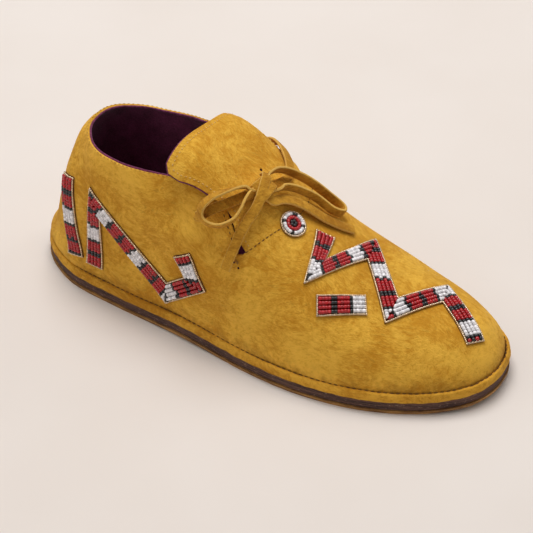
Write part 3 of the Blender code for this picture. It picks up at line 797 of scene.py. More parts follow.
face_bm = outer_face_mesh()
outer_face = BVHTree.FromBMesh(face_bm)
upper = piece("suede_upper", face_bm, [ochre_suede, plum_cloth])
lined(upper, UPPER_WALL, 2, 60)
holes_bm = bmesh.new()
slot_turn = float(turn_at(spread(LACE_SLOT), SLOT_LEVEL * COLLAR_HEIGHT))
for around in (lambda turn: turn, lambda turn: math.pi - turn):
    slot = bmesh.ops.create_cube(holes_bm, size=1)["verts"]
    bored(holes_bm, slot, (SLOT_WIDTH, 4 * UPPER_WALL, SLOT_HEIGHT), spread(LACE_SLOT), around(slot_turn))
    for share, turn, radius in NEEDLE_HOLES:
        needle_hole(holes_bm, spread(share), around(turn * math.pi), radius)
cut_by(upper, holes_bm)
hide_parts("upper")
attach(upper, "root")

# The band is a strip of the same suede round the whole sole. It is folded over the upper's
# lower edge, and a row of stitches beside the fold holds both to the midsole.
BAND_HEIGHT = 0.0048
BAND_LIP = 0.001
BAND_SECTION = [
    # inset, height above the band's foot
    (0.15 * BAND_LIP, 0.0),
    (0.0, 0.3 * BAND_HEIGHT),
    (0.45 * BAND_LIP, 0.72 * BAND_HEIGHT),
    (BAND_LIP, 0.96 * BAND_HEIGHT),
    (BAND_THICKNESS - 0.25 * BAND_LIP, BAND_HEIGHT),
    (BAND_THICKNESS, 0.94 * BAND_HEIGHT),
    (BAND_THICKNESS, 0.0),
]


def ring_of(s):
    """Station angle and side of a place round the sole; s goes once round from 0 to 1."""
    first = spread(TIP)
    t = np.asarray(s) % 1.0 * 2
    return first + (math.pi - 2 * first) * np.where(t <= 1, t, 2 - t), np.where(t <= 1, -1, 1)


def band_place(u, v):
    knots = np.linspace(0, 1, len(BAND_SECTION) + 1)
    section = np.array(BAND_SECTION + BAND_SECTION[:1])
    inset, height = (np.interp(v, knots, section[:, column]) for column in (0, 1))
    angle, side = ring_of(u)
    xy = outline(angle, side, inset)
    return np.column_stack([xy, UPPER_BASE + height + rise(xy[:, 0])])


def darker_foot(place, tone):
    """The band, darker in patches towards its cut lower edge."""
    stain = (place.kept("foot") + (place.clouds(260.0, 3.0, 0.6) - 0.5) * 0.9).eased(0.55, 1.0)
    return (stain * 0.75).tinted(tone, colour(104, 66, 30))


band_bm = bmesh.new()
foot = band_bm.verts.layers.float.new("foot")
band_verts = laid(band_bm, 480, 3 * len(BAND_SECTION), band_place)
for vert in band_verts:
    above = vert.co.z - UPPER_BASE - float(rise(vert.co.x))
    vert[foot] = max(0.0, 1 - above / (0.35 * BAND_HEIGHT))
merged(band_bm)
all_ways = {"use_axis_x": True, "use_axis_y": True, "use_axis_z": True}
bmesh.ops.smooth_vert(band_bm, verts=band_bm.verts[:], factor=0.5, **all_ways)
roughened(band_bm, 0.00018, 420.0)
outward(band_bm)
band_face = BVHTree.FromBMesh(band_bm)
band_suede = suede("band_suede", colour(230, 173, 62), colour(188, 127, 33), changed=darker_foot)
band = piece("suede_band", band_bm, [band_suede])
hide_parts("welt_band")
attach(band, "root")


def evenly(points, pitch):
    """Places a pitch apart along a line of points, with the direction at each."""
    points = np.asarray(points)
    run = np.concatenate([[0.0], np.cumsum(np.linalg.norm(np.diff(points, axis=0), axis=1))])
    count = max(1, round(run[-1] / pitch))
    steps = (np.arange(count) + 0.5) * run[-1] / count
    behind, centres, ahead = (
        np.column_stack([np.interp(steps + shift, run, column) for column in points.T])
        for shift in (-pitch / 4, 0.0, pitch / 4)
    )
    return centres, ahead - behind


def stitched(name, lines, surface, pitch, length, radius, material, sunk=0.3):
    """Rows of stitches along lines on a surface, each a short thread sunk into the suede."""
    bm = bmesh.new()
    for line in lines:
        for centre, along in zip(*evenly(line, pitch)):
            centre, along = Vector(centre), Vector(along).normalized()
            normal = surface.find_nearest(centre)[1]
            sideways = normal.cross(along).normalized()
            turned = axes(along * length / 2, sideways * radius, normal * radius)
            middle = Matrix.Translation(centre + normal * radius * (1 - 2 * sunk))
            bmesh.ops.create_uvsphere(bm, u_segments=8, v_segments=6, radius=1.0, matrix=middle @ turned)
    outward(bm)
    made = piece(name, bm, [material])
    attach(made, "root")


def along_edge(edge, surface):
    """Points of an edge on a surface, with the surface's normal and the way across the edge."""
    for point, ahead in zip(edge, np.gradient(edge, axis=0)):
        near, normal, _, _ = surface.find_nearest(Vector(point))
        yield near, normal, normal.cross(Vector(ahead)).normalized()


def beside(edge, surface, offset):
    """A line on a surface, some way in from its edge; a negative offset is to the other side."""
    moved = [near + sideways * offset for near, _, sideways in along_edge(edge, surface)]
    return np.array([surface.find_nearest(point)[0] for point in moved])


brown_thread = finish("brown_thread", clouded((92, 56, 18), (136, 92, 34), 3000.0, 1.0), 0.85)
ochre_thread = finish("ochre_thread", clouded((148, 100, 34), (192, 144, 62), 3000.0, 1.0), 0.85)
pale_thread = finish("pale_thread", clouded((200, 154, 76), (238, 202, 130), 3000.0, 1.0), 0.8)
round_the_sole = np.linspace(0, 1, 1601)
angle, side = ring_of(round_the_sole)
seam_xy = outline(angle, side, np.full(len(angle), BAND_THICKNESS - 0.25 * BAND_LIP))
seam = np.column_stack([seam_xy, UPPER_BASE + BAND_HEIGHT + rise(seam_xy[:, 0])])
sizes = {"pitch": 0.0031, "length": 0.0022, "radius": 0.0003}
stitched("band_stitches", [seam], band_face, **sizes, material=brown_thread)

# The upper's seams are sewn by machine. A row runs under the collar's folded edge, one along
# each side of the slits, and a short bar of thread at each slit's foot keeps it from tearing.
COLLAR_SEAM = 0.0036
SLIT_SEAM = 0.0022
THROAT_ROW = 0.0011
BAR_TURNS = np.array([0.216, 0.208])
BAR_START = 0.4955
BAR_STEP = 0.0018


def side_edge(side, u, v):
    return side_place(side)(*np.broadcast_arrays(np.asarray(u, float), np.asarray(v, float)))


along_collar = np.linspace(HEEL_COLUMNS, 1.0, 220)
up_slit = np.linspace(ROWS_BELOW_SLIT, 1.0, 40)
collar_edge = np.vstack([side_edge(-1, along_collar[::-1], 1.0), side_edge(1, along_collar[1:], 1.0)])
slit_edges = [side_edge(-1, 1.0, up_slit), side_edge(1, 1.0, up_slit[::-1])]
throat_edge = rib(*throat(np.linspace(0.012, 0.988, 160)))
bars = []
for turns in (BAR_TURNS, 1 - BAR_TURNS):
    for step in range(4):
        bars.append(rib(spread(np.full(2, BAR_START + BAR_STEP * step)), turns * math.pi))
collar_seam = [beside(collar_edge, outer_face, -COLLAR_SEAM)]
slit_seams = [beside(edge, outer_face, SLIT_SEAM) for edge in slit_edges]
throat_seam = [beside(throat_edge, outer_face, THROAT_ROW)]
for name, lines, *sizes in (
    # name, lines, pitch, stitch length, thread radius, thread, share sunk
    ("collar_stitches", collar_seam, 0.0025, 0.0013, 0.00016, ochre_thread, 0.45),
    ("slit_stitches", slit_seams, 0.0029, 0.0017, 0.00027, brown_thread),
    ("throat_stitches", throat_seam, 0.0025, 0.0016, 0.00028, brown_thread),
    ("slit_bars", bars, 0.01, 0.0019, 0.00028, ochre_thread, 0.2),
):
    stitched(name, lines, outer_face, *sizes)

# The tongue is a flap of suede with the plum lining under it. It is sewn to the vamp along the
# throat, lies over the instep and stands up past the collar, with a stitched edge.
TONGUE_THICKNESS = 0.002
TONGUE_SIDE = [
    # share, level as a share of the rib's crown
    (0.499, 0.815),
    (0.488, 0.84),
    (0.479, 0.868),
    (0.472, 0.895),
    (0.462, 0.905),
    (0.415, 0.9),
    (0.37, 0.885),
    (0.35, 0.895),
    (0.344, 0.925),
]
TONGUE_TOP = 0.345
TONGUE_LIFT = UPPER_WALL + 2 * GAP
TONGUE_SKEW = 0.014
TONGUE_TILT = 0.002
TONGUE_NECK = 0.035
LIFT_START = 0.06
LIFT_END = 0.32
TILT_START = 0.6
THROAT_SEAM = 0.0001
TONGUE_SEAM = 0.0028


def tongue_place(a, b):
    """Station angle, turn and lift of the tongue; a goes back from the throat, b across."""
    a, b = np.broadcast_arrays(np.asarray(a, float), b)
    start_angle, start_turn = throat(TONGUE_NECK)
    start = (share_of(start_angle) - THROAT_SEAM / SOLE_LENGTH, start_turn)
    side = [start]
    for share, level in TONGUE_SIDE:
        side.append((share, float(turn_of_level(spread(share), level))))
    corner = side[-1]
    at = np.linspace(0, 1, len(side))
    edge = [np.interp(a, at, [row[k] for row in side]) for k in (0, 1)]
    t = (b + 1) / 2
    angle, turn = throat(TONGUE_NECK + (1 - 2 * TONGUE_NECK) * t)
    foot = (share_of(angle) - THROAT_SEAM / SOLE_LENGTH, turn)
    top_share = TONGUE_TOP + (corner[0] - TONGUE_TOP) * np.abs(b) ** 4
    top = (top_share, corner[1] + (math.pi - 2 * corner[1]) * t)
    other = (edge[0], math.pi - edge[1])
    corners = (start, (start[0], math.pi - start[1]), corner, (corner[0], math.pi - corner[1]))
    share, turn = (
        (1 - a) * foot[k]
        + a * top[k]
        + (1 - t) * edge[k]
        + t * other[k]
        - (1 - a) * ((1 - t) * corners[0][k] + t * corners[1][k])
        - a * ((1 - t) * corners[2][k] + t * corners[3][k])
        for k in (0, 1)
    )
    lift = TONGUE_LIFT * eased((a - LIFT_START) / (LIFT_END - LIFT_START))
    lift = lift - TONGUE_TILT * b * eased((a - TILT_START) / (1 - TILT_START))
    return spread(share + TONGUE_SKEW * b * a * a), turn, lift


TONGUE_HOLE = (0.4677, 0.4997, 0.0008)


def tongue_sheet(bm):
    """The tongue's outer face."""
    return laid(bm, 60, 80, lambda u, v: rib(*tongue_place(v, 2 * u - 1)))


def upward(bm, faces):
    """Faces of one sheet turned over if they look down."""
    if sum(face.normal.z for face in faces) < 0:
        bmesh.ops.reverse_faces(bm, faces=faces)


tongue_bm = bmesh.new()
tongue_sheet(tongue_bm)
outward(tongue_bm)
upward(tongue_bm, tongue_bm.faces[:])
tongue_bm.normal_update()
roughened(tongue_bm, DENT_DEPTH, 95.0)
tongue_face = BVHTree.FromBMesh(tongue_bm)
tongue = piece("suede_tongue", tongue_bm, [ochre_suede, plum_cloth])
lined(tongue, TONGUE_THICKNESS, 3, 50)
hole_bm = bmesh.new()
share, turn, radius = TONGUE_HOLE
needle_hole(hole_bm, spread(share), turn * math.pi, radius, TONGUE_LIFT)
cut_by(tongue, hole_bm)
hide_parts("tongue")
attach(tongue, "root")

down_side, over_top = np.linspace(0.03, 1.0, 120), np.linspace(-1.0, 1.0, 80)
tongue_edge = np.vstack([
    rib(*tongue_place(down_side, -1.0)),
    rib(*tongue_place(1.0, over_top[1:-1])),
    rib(*tongue_place(down_side[::-1], 1.0)),
])
tongue_seam = beside(tongue_edge, tongue_face, -TONGUE_SEAM)
sizes = {"pitch": 0.0023, "length": 0.0012, "radius": 0.00024}
stitched("tongue_stitches", [tongue_seam], tongue_face, **sizes, material=pale_thread)

# The plum lining is folded over inside the edge of the collar and under the edge of the tongue.
# Its thin rolled fold is glued to the suede and shows as a brighter purple line.
FOLD_PROUD = 0.0001
FOLD_HALF = (0.0006, 0.0008)
SEWN_POINTS = 73
SECTION_STEPS = 16
plum_fold = finish(
    "plum_fold",
    clouded((88, 30, 60), (134, 62, 100), 700.0, 3.0, 0.6),
    0.9,
    lambda place: place.clouds(1500.0, 2.0),
    0.0003,
    Sheen_Weight=0.2,
    Specular_IOR_Level=0.1,
)


def cross_section(bm, centres, first, second, roundness, cut_edge=None):
    """A strip drawn along a line, from its half width and half thickness as vectors at each point."""
    turns = np.linspace(0, 2 * math.pi, SECTION_STEPS + 1)
    flat, thick = (np.sign(f(turns)) * np.abs(f(turns)) ** roundness for f in (np.cos, np.sin))
    last = len(centres) - 1

    def place(u, v):
        at, k = np.rint(u * last).astype(int), np.rint(v * SECTION_STEPS).astype(int)
        return centres[at] + first[at] * flat[k][:, None] + second[at] * thick[k][:, None]

    verts = laid(bm, last, SECTION_STEPS, place)
    if cut_edge:
        for number, vert in enumerate(verts):
            vert[cut_edge] = float(abs(flat[number // (last + 1)]) > 0.9)
    bmesh.ops.remove_doubles(bm, verts=verts, dist=1e-6)


def capped(bm):
    """Closed ends and outward faces."""
    bmesh.ops.holes_fill(bm, edges=[edge for edge in bm.edges if edge.is_boundary], sides=0)
    outward(bm)
    return bm


def rolled_fold(name, edge, surface, depth):
    """The lining's fold under an edge of the suede, a little proud of it."""
    rows = []
    for near, normal, sideways in along_edge(edge, surface):
        middle = near - normal * depth + sideways * FOLD_PROUD
        rows.append((middle, normal * FOLD_HALF[0], sideways * FOLD_HALF[1]))
    bm = bmesh.new()
    cross_section(bm, *np.array(rows).transpose(1, 0, 2), 0.9)
    made = piece(name, capped(bm), [plum_fold])
    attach(made, "root")


rolled_fold("collar_fold", collar_edge, outer_face, UPPER_WALL - 0.0004)
free_edge = tongue_edge[SEWN_POINTS:-SEWN_POINTS]
rolled_fold("tongue_fold", free_edge, tongue_face, TONGUE_THICKNESS - 0.0003)

# The lace is one flat suede thong with paler cut edges. It crosses the tongue between a slot in
# each quarter and is tied there in a bow, with two loops on edge and two short ends.
LACE_WIDTH = 0.0052
LACE_THICKNESS = 0.0016
INTO_SLOT = [
    # share, turn / pi, lift in thicknesses of the lace, how far the lace stands on its edge
    (0.39, 0.22, -2.4, 0.0),
    (0.399, 0.222, -1.9, 0.0),
    (0.404, 0.2235, -0.6, 0.0),
]
CROSSING = [
    (0.4077, 0.2247, 0.72, 0.0),
    (0.417, 0.236, 1.6, 0.0),
    (0.4283, 0.252, 2.75, 0.0),
    (0.44, 0.272, 2.75, 0.0),
    (0.4506, 0.2901, 2.75, 0.0),
    (0.469, 0.3351, 2.75, 0.0),
    (0.4841, 0.4075, 2.75, 0.0),
]
CROSSING_FAR = CROSSING[:5] + [
    (0.476, 0.335, 2.75, 0.0),
    (0.496, 0.375, 2.5, 0.0),
    (0.508, 0.43, 2.3, 0.0),
    (0.504, 0.498, 2.5, 0.0),
    (0.494, 0.55, 2.75, 0.0),
]
KNOT_WRAPS = [
    # offset along the shoe, slant, half length, half height
    (-0.0018, 0.06, 0.0053, 0.0028),
    (0.0032, -0.1, 0.0054, 0.0034),
]
KNOT_PLACE = (0.485, 0.395, 4.95)
KNOT_SIZE = (0.0092, 0.00946, 0.00528)
KNOT_ROUNDING = 0.0017
WRAP_WIDTH = 0.92 * LACE_WIDTH
LOOP_LATERAL = [
    (0.482, 0.39, 4.9, 0.1),
    (0.472, 0.36, 5.3, 0.6),
    (0.4598, 0.3466, 5.4, 0.9),
    (0.4403, 0.3055, 5.3, 0.8),
    (0.4245, 0.274, 5.0, 0.6),
    (0.417, 0.2515, 4.8, 0.5),
    (0.4205, 0.2375, 4.4, 0.5),
    (0.436, 0.237, 4.1, 0.6),
    (0.457, 0.252, 4.3, 0.75),
    (0.4725, 0.2789, 4.8, 0.85),
    (0.4745, 0.3044, 5.2, 0.95),
    (0.473, 0.3256, 5.4, 0.9),
    (0.476, 0.348, 5.4, 0.6),
    (0.484, 0.386, 4.9, 0.1),
]
LOOP_MEDIAL = [
    (0.487, 0.406, 4.9, 0.2),
    (0.482, 0.442, 5.5, 0.8),
    (0.48, 0.464, 5.6, 1.0),
    (0.485, 0.51, 5.7, 1.0),
    (0.499, 0.548, 5.6, 1.0),
    (0.52, 0.576, 5.0, 1.0),
    (0.545, 0.605, 3.8, 1.0),
    (0.578, 0.6265, 2.6, 1.0),
    (0.6054, 0.6333, 2.1, 1.0),
    (0.616, 0.608, 2.1, 1.0),
    (0.6004, 0.5822, 2.1, 1.0),
    (0.5631, 0.568, 2.8, 1.0),
    (0.5318, 0.526, 3.8, 1.0),
    (0.514, 0.48, 4.6, 1.0),
    (0.509, 0.442, 5.2, 0.8),
    (0.494, 0.406, 4.9, 0.2),
]
END_LATERAL = [
    (0.477, 0.447, 4.4, 0.0),
    (0.4775, 0.442, 6.0, 0.0),
    (0.4795, 0.423, 7.2, 0.0),
    (0.4835, 0.395, 7.4, 0.0),
    (0.4895, 0.37, 6.7, 0.0),
    (0.4945, 0.348, 5.4, 0.0),
    (0.496, 0.33, 4.4, 0.0),
    (0.495, 0.3128, 3.5, 0.0),
    (0.493, 0.2826, 2.8, 0.0),
    (0.4915, 0.262, 2.5, 0.0),
    (0.4905, 0.2421, 2.3, 0.0),
    (0.484, 0.1896, 2.5, 0.0),
]
END_MEDIAL = [
    (0.499, 0.39, 4.9, 0.0),
    (0.515, 0.398, 4.4, 0.0),
    (0.523, 0.43, 3.6, 0.0),
    (0.54, 0.475, 2.8, 0.0),
    (0.565, 0.508, 2.1, 0.0),
    (0.602, 0.533, 1.3, 0.0),
    (0.628, 0.558, 0.9, 0.0),
    (0.65, 0.583, 0.9, 0.0),
]


def smoothed(rows, steps=10):
    """A smooth line through rows of numbers."""
    rows = np.asarray(rows, float)
    padded = np.vstack([2 * rows[0] - rows[1], rows, 2 * rows[-1] - rows[-2]])
    line = []
    for before, low, high, after in zip(padded, padded[1:], padded[2:], padded[3:]):
        t = np.arange(steps)[:, None] / steps
        line.append(
            0.5
            * (
                2 * low
                + (high - before) * t
                + (2 * before - 5 * low + 4 * high - after) * t**2
                + (3 * low - before - 3 * high + after) * t**3
            )
        )
    return np.vstack(line + [rows[-1:]])


def lace_path(table):
    """Middle line of the lace and the direction of its width, from a table of places on the upper."""
    rows = smoothed(table)
    angle, turn = spread(rows[:, 0]), rows[:, 1] * math.pi
    normal = facing(angle, turn)
    centres = rib(angle, turn) + normal * (rows[:, 2] * LACE_THICKNESS)[:, None]
    along = unit(np.gradient(centres, axis=0))
    sideways = unit(np.cross(normal, along))
    upright = np.cross(along, sideways)
    stand = (rows[:, 3] * math.pi / 2)[:, None]
    return centres, sideways * np.cos(stand) + upright * np.sin(stand)


def thong(bm, centres, across, width=LACE_WIDTH):
    """A flat strip of suede with softly rounded edges, drawn along a line."""
    through_it = np.cross(unit(np.gradient(centres, axis=0)), across)
    cut_edge = bm.verts.layers.float.get("cut_edge") or bm.verts.layers.float.new("cut_edge")
    cross_section(bm, centres, across * width / 2, through_it * LACE_THICKNESS / 2, 0.45, cut_edge)


def paler_edges(place, tone):
    """The thong's cut edges, where the raw suede is paler."""
    return (place.kept("cut_edge") * 0.6).tinted(tone, colour(240, 198, 108))


lace_suede = suede("lace_suede", colour(216, 160, 56), colour(166, 110, 30), 0.0003, changed=paler_edges)
line, width_way = lace_path(
    INTO_SLOT
    + CROSSING
    + [(s, 1 - t, lift, stand) for s, t, lift, stand in reversed(INTO_SLOT + CROSSING_FAR)]
)
crossing_bm = bmesh.new()
thong(crossing_bm, line, width_way)
crossing = piece("thong_crossing", capped(crossing_bm), [lace_suede], 50)
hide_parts("lace_crossing")
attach(crossing, "root")

knot_angle, knot_turn = spread(KNOT_PLACE[0]), KNOT_PLACE[1] * math.pi
knot_up = Vector(facing(knot_angle, knot_turn))
knot_along = Vector(rib(knot_angle + 0.01, knot_turn) - rib(knot_angle - 0.01, knot_turn)).normalized()
knot_across = knot_up.cross(knot_along).normalized()
knot_along = knot_across.cross(knot_up)
knot_middle = Vector(rib(knot_angle, knot_turn)) + knot_up * KNOT_PLACE[2] * LACE_THICKNESS
knot_bm = bmesh.new()
bmesh.ops.create_cube(knot_bm, size=1)
bmesh.ops.scale(knot_bm, vec=KNOT_SIZE, verts=knot_bm.verts[:])
rounding = {"offset": KNOT_ROUNDING, "segments": 4, "profile": 0.5, "affect": "EDGES", "material": -1}
bmesh.ops.bevel(knot_bm, geom=knot_bm.edges[:], **rounding)
knot_matrix = Matrix.Translation(knot_middle) @ axes(knot_along, knot_across, knot_up)
bmesh.ops.transform(knot_bm, matrix=knot_matrix, verts=knot_bm.verts[:])
for offset, slant, half_length, half_height in KNOT_WRAPS:
    turns = np.linspace(0, 2 * math.pi, 49)
    over, up = (np.sign(f(turns)) * np.abs(f(turns)) ** 0.75 for f in (np.cos, np.sin))
    lean = knot_across * math.cos(slant) + knot_along * math.sin(slant)
    side = lean.cross(knot_up).normalized()
    wrap = (
        np.array(knot_middle + side * offset)
        + np.array(lean) * (over * half_length)[:, None]
        + np.array(knot_up) * (up * half_height)[:, None]
    )
    thong(knot_bm, wrap, np.tile(np.array(side), (len(wrap), 1)), WRAP_WIDTH)
    merged(knot_bm, 1e-6)
knot = piece("thong_knot", capped(knot_bm), [lace_suede], 50)
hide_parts("lace_knot")
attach(knot, "root")

for name, node, table, far_end in (
    ("thong_loop_outer", "lace_loop_lateral", LOOP_LATERAL, "object"),
    ("thong_loop_inner", "lace_loop_medial", LOOP_MEDIAL, "object"),
    ("thong_end_outer", "lace_end_lateral", END_LATERAL, "bare"),
    ("thong_end_inner", "lace_end_medial", END_MEDIAL, "bare"),
):
    line, width_way = lace_path(table)
    thong_bm = bmesh.new()
    thong(thong_bm, line, width_way)
    made = piece(name, capped(thong_bm), [lace_suede], 50)
    length = float(np.linalg.norm(np.diff(line, axis=0), axis=1).sum())
    tuple(line[0])
    [tuple(point) for point in line]
    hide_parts(node)
    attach(made, "root")

# The beadwork is rows of glass seed beads couched side by side onto a dark backing, between two
# rows of small metal beads. The backing's brown is painted shade, the shade round and between the
# beads. Colours change in blocks along each band.
BAND_OF_BEADS = 0.011
ROSETTE_RADIUS = 0.0072
ROSETTE_PLACE = (0.564, 0.418)
VAMP_BAND = [
    (0.618, 0.475),
    (0.6356, 0.3366),
    (0.695, 0.57),
    (0.7878, 0.3739),
    (0.8541, 0.5863),
    (0.9491, 0.4066),
]
VAMP_BAR = [(0.666, 0.26), (0.74, 0.34)]
QUARTER_BAND = [
    (0.172, 0.044),
    (0.1715, 0.16),
    (0.348, 0.055),
    (0.415, 0.106),
    (0.384, 0.143),
]
HEEL_BAND = [(0.089, 0.225), (0.104, 0.12), (0.121, 0.05)]
covered_bm = outer_face_mesh()
flap = set(tongue_sheet(covered_bm))
covered_bm.normal_update()
upward(covered_bm, [face for face in covered_bm.faces if face.verts[0] in flap])
covered_face = BVHTree.FromBMesh(covered_bm)
covered_bm.free()
BACKING = 0.0004
BACKING_LIFT = 0.00005
BEAD_FILL = 1.32
BEAD_SEAT = 0.42
LANE_SHIFT = 0.0007
BAND_END = 0.0012
BACKING_PITCH = 0.0016
LANES = [
    # offset across the band, bead's length along the lane, bead's width
    (-0.0049, 0.00105, 0.00115),
    (-0.0033, 0.0015, 0.00212),
    (-0.0011, 0.0015, 0.00212),
    (0.0011, 0.0015, 0.00212),
    (0.0033, 0.0015, 0.00212),
    (0.0049, 0.00105, 0.00115),
]
# each colour with its share of metal
RED = (*colour(188, 16, 26)[:3], 0.0)
BLACK = (*colour(24, 24, 28)[:3], 0.0)
WHITE = (*colour(250, 246, 248)[:3], 0.0)
METAL = (*colour(226, 202, 170)[:3], 1.0)
BLOCKS = [(RED, 0.0066), (BLACK, 0.0026), (RED, 0.0062), (BLACK, 0.0016), (WHITE, 0.0078), (BLACK, 0.0018)]


def place_of(row):
    return Vector(rib(spread(row[0]), row[1] * math.pi))


def way_up(row):
    return Vector(facing(spread(row[0]), row[1] * math.pi))


def spokes(row):
    """Middle of a round piece, its way up, and its way out at an angle."""
    up = way_up(row)
    first = up.orthogonal().normalized()
    second = up.cross(first)
    return place_of(row), up, lambda a: first * math.cos(a) + second * math.sin(a)


def onto_upper(point, lift):
    near, normal, _, _ = covered_face.find_nearest(point)
    return near + normal * lift, normal


def seated(point, along, length, width, tone):
    """A bead on the backing, over a point of the shoe."""
    near, normal = onto_upper(point, width * BEAD_SEAT + BACKING)
    return near, along, normal, length, width, tone


def block_colour(distance):
    """Colour of a bead, by its distance along the middle of the band."""
    distance %= sum(size for _, size in BLOCKS)
    for tone, size in BLOCKS:
        if distance < size:
            return tone
        distance -= size
    return BLOCKS[0][0]


def band_lines(table):
    """The corners of a band, and the way to its edge at each, mitred."""
    points = [place_of(row) for row in table]
    normals = [way_up(row) for row in table]
    sideways = []
    for i, normal in enumerate(normals):
        runs = [points[j + 1] - points[j] for j in (i - 1, i) if 0 <= j < len(points) - 1]
        turned = [normal.cross(run).normalized() for run in runs]
        mitre = sum(turned, Vector()).normalized()
        sideways.append(mitre / max(0.6, mitre.dot(turned[0])))
    return points, sideways


def bead_mesh():
    """A bead of radius 1 with its hole along Z, flatter at the ends than a ball."""
    bm = bmesh.new()
    bmesh.ops.create_uvsphere(bm, u_segments=9, v_segments=6, radius=1.0)
    for vert in bm.verts:
        vert.co.z = math.copysign(abs(vert.co.z) ** 0.55, vert.co.z)
    mesh = bpy.data.meshes.new("bead")
    bm.to_mesh(mesh)
    bm.free()
    return mesh


def worn_tone(place):
    """Each bead's own colour, dulled by wear in places."""
    tone = place.node("ShaderNodeAttribute", {"attribute_name": "bead_tone"}, {})
    return (place.clouds(500.0, 2.0).eased(0.35, 0.7) * 0.25).tinted(tone, colour(60, 46, 40))


glass = finish(
    "glass_beads",
    worn_tone,
    0.24,
    Metallic=lambda place: place.kept("bead_metal"),
    Coat_Weight=0.35,
    Coat_Roughness=0.1,
)


def beaded(name, node, beads):
    """Beads from (point, direction of the hole, normal, length, width, tone), as one mesh."""
    template = bead_mesh()
    bm = bmesh.new()
    tones = []
    for count, (point, along, normal, length, width, tone) in enumerate(beads):
        along = (along - normal * along.dot(normal)).normalized()
        sideways = normal.cross(along)
        size = 1 + 0.05 * math.sin(count * 12.9898)
        half = width / 2 * size
        turned = axes(sideways * half, normal * half, along * length / 2 * BEAD_FILL)
        placed = template.copy()
        placed.transform(Matrix.Translation(point) @ turned)
        bm.from_mesh(placed)
        bpy.data.meshes.remove(placed)
        shade = 1 + 0.16 * math.sin(count * 78.233)
        tones.append((*(value * shade for value in tone[:3]), tone[3]))
    each = len(template.vertices)
    bpy.data.meshes.remove(template)
    outward(bm)
    made = piece(name, bm, [glass])
    tones = np.repeat(np.array(tones), each, axis=0)
    colours = made.data.attributes.new("bead_tone", "FLOAT_COLOR", "POINT")
    colours.data.foreach_set("color", np.column_stack([tones[:, :3], np.ones(len(tones))]).ravel())
    metal = made.data.attributes.new("bead_metal", "FLOAT", "POINT")
    metal.data.foreach_set("value", tones[:, 3].copy())
    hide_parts(node)
    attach(made, "root")


def band_beads(table):
    """Beads of a band's lanes, with a row of metal beads across each end."""
    points, sideways = band_lines(table)
    beads = []
    for lane, (offset, length, width) in enumerate(LANES):
        corners = [point + side * offset for point, side in zip(points, sideways)]
        strung = 0.0
        for low, high, middle_low, middle_high in zip(corners, corners[1:], points, points[1:]):
            run, middle = high - low, middle_high - middle_low
            count = max(1, round(run.length / length))
            for k in range(count):
                at = low + run * (k + 0.5) / count
                distance = strung + (at - middle_low).dot(middle.normalized()) + LANE_SHIFT * (lane % 2)
                tone = METAL if lane in (0, len(LANES) - 1) else block_colour(distance)
                beads.append(seated(at, run, length, width, tone))
            strung += middle.length
    offset, length, width = LANES[0]
    count = round(-2 * offset / length)
    for end, inner in ((0, 1), (-1, -2)):
        out = (points[end] - points[inner]).normalized() * width * 0.5
        for k in range(count + 1):
            at = points[end] + out + sideways[end] * offset * (1 - 2 * k / count)
            beads.append(seated(at, sideways[end], length, width, METAL))
    return beads


def rosette_beads(row):
    centre, up, spoke = spokes(row)
    beads = []
    for radius, length, width, tones in (
        # radius of the ring, bead's length and width, its tones in turn
        (0.0067, 0.00105, 0.00115, (METAL,)),
        (0.0051, 0.0015, 0.00205, (WHITE, WHITE, WHITE, BLACK)),
        (0.0031, 0.0015, 0.00205, (RED,)),
        (0.0012, 0.0014, 0.0019, (BLACK,)),
    ):
        count = max(5, round(2 * math.pi * radius / length))
        for k in range(count):
            out = spoke(2 * math.pi * k / count)
            tone = tones[k * 16 // count % len(tones)]
            beads.append(seated(centre + out * radius, up.cross(out), length, width, tone))
    return beads


def mirrored(table):
    return [(share, 1 - turn) for share, turn in table]


def backing_run(bm, low, high, low_side, high_side):
    """A strip of the backing under one straight run of a band."""

    def place(u, v):
        spots = []
        for part, across in zip(u, v):
            reach = low_side.lerp(high_side, part) * BACKING_REACH * (2 * across - 1)
            spots.append(onto_upper(low.lerp(high, part) + reach, BACKING_LIFT)[0])
        return spots

    laid(bm, max(4, round((high - low).length / BACKING_PITCH)), 8, place)


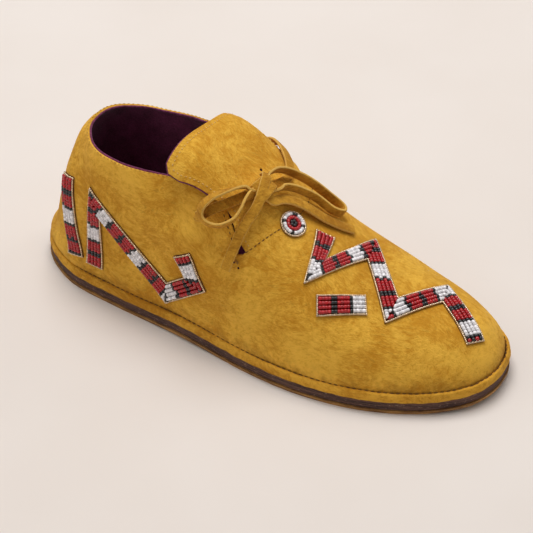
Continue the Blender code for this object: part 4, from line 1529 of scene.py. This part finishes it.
def backing_disc(bm, row, radius):
    """The round backing under the rosette."""
    centre, _, spoke = spokes(row)

    def place(u, v):
        spots = [centre + spoke(2 * math.pi * part) * radius * out for part, out in zip(u, v)]
        return [onto_upper(spot, BACKING_LIFT)[0] for spot in spots]

    laid(bm, 40, 5, place)


BANDS = {
    "beads_vamp": ("beadwork_vamp", VAMP_BAND),
    "beads_bar": ("beadwork_bar", VAMP_BAR),
    "beads_outer": ("beadwork_lateral", QUARTER_BAND),
    "beads_inner": ("beadwork_medial", mirrored(QUARTER_BAND)),
    "beads_heel_outer": ("beadwork_heel_lateral", HEEL_BAND),
    "beads_heel_inner": ("beadwork_heel_medial", mirrored(HEEL_BAND)),
}
BACKING_REACH = BAND_OF_BEADS / 2 - 0.0002
# The backing's brown is painted shade: it stands for the shade round the bands' edges and between the
# beads.
shade_brown_backing = finish(
    "shade_brown_backing",
    clouded((44, 26, 14), (104, 66, 30), 1300.0),
    0.95,
    lambda place: place.clouds(2200.0, 2.0),
    0.0003,
)
backing_bm = bmesh.new()
for _, table in BANDS.values():
    points, sideways = band_lines(table)
    for end, inner in ((0, 1), (-1, -2)):
        points[end] += (points[end] - points[inner]).normalized() * BAND_END
    for ends in zip(points, points[1:], sideways, sideways[1:]):
        backing_run(backing_bm, *ends)
backing_disc(backing_bm, ROSETTE_PLACE, ROSETTE_RADIUS - 0.0001)
merged(backing_bm, 2e-5)
backing_bm.normal_update()
under = [covered_face.find_nearest(face.calc_center_median())[1] for face in backing_bm.faces]
inward = [face for face, normal in zip(backing_bm.faces, under) if face.normal.dot(normal) < 0]
bmesh.ops.reverse_faces(backing_bm, faces=inward)
# The sheet under the beads, its colour painted shade.
backing = piece("painted_shade_backing", backing_bm, [shade_brown_backing])
modified(backing, "felt", "SOLIDIFY", thickness=BACKING, offset=1)
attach(backing, "root")

beaded("beads_rosette", "beadwork_rosette", rosette_beads(ROSETTE_PLACE))
for name, (node, table) in BANDS.items():
    beaded(name, node, band_beads(table))

dressed_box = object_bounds()
boxes = {"cad": packed_box, "visual": dressed_box}
{name: [[float(v) for v in corner] for corner in box] for name, box in boxes.items()}
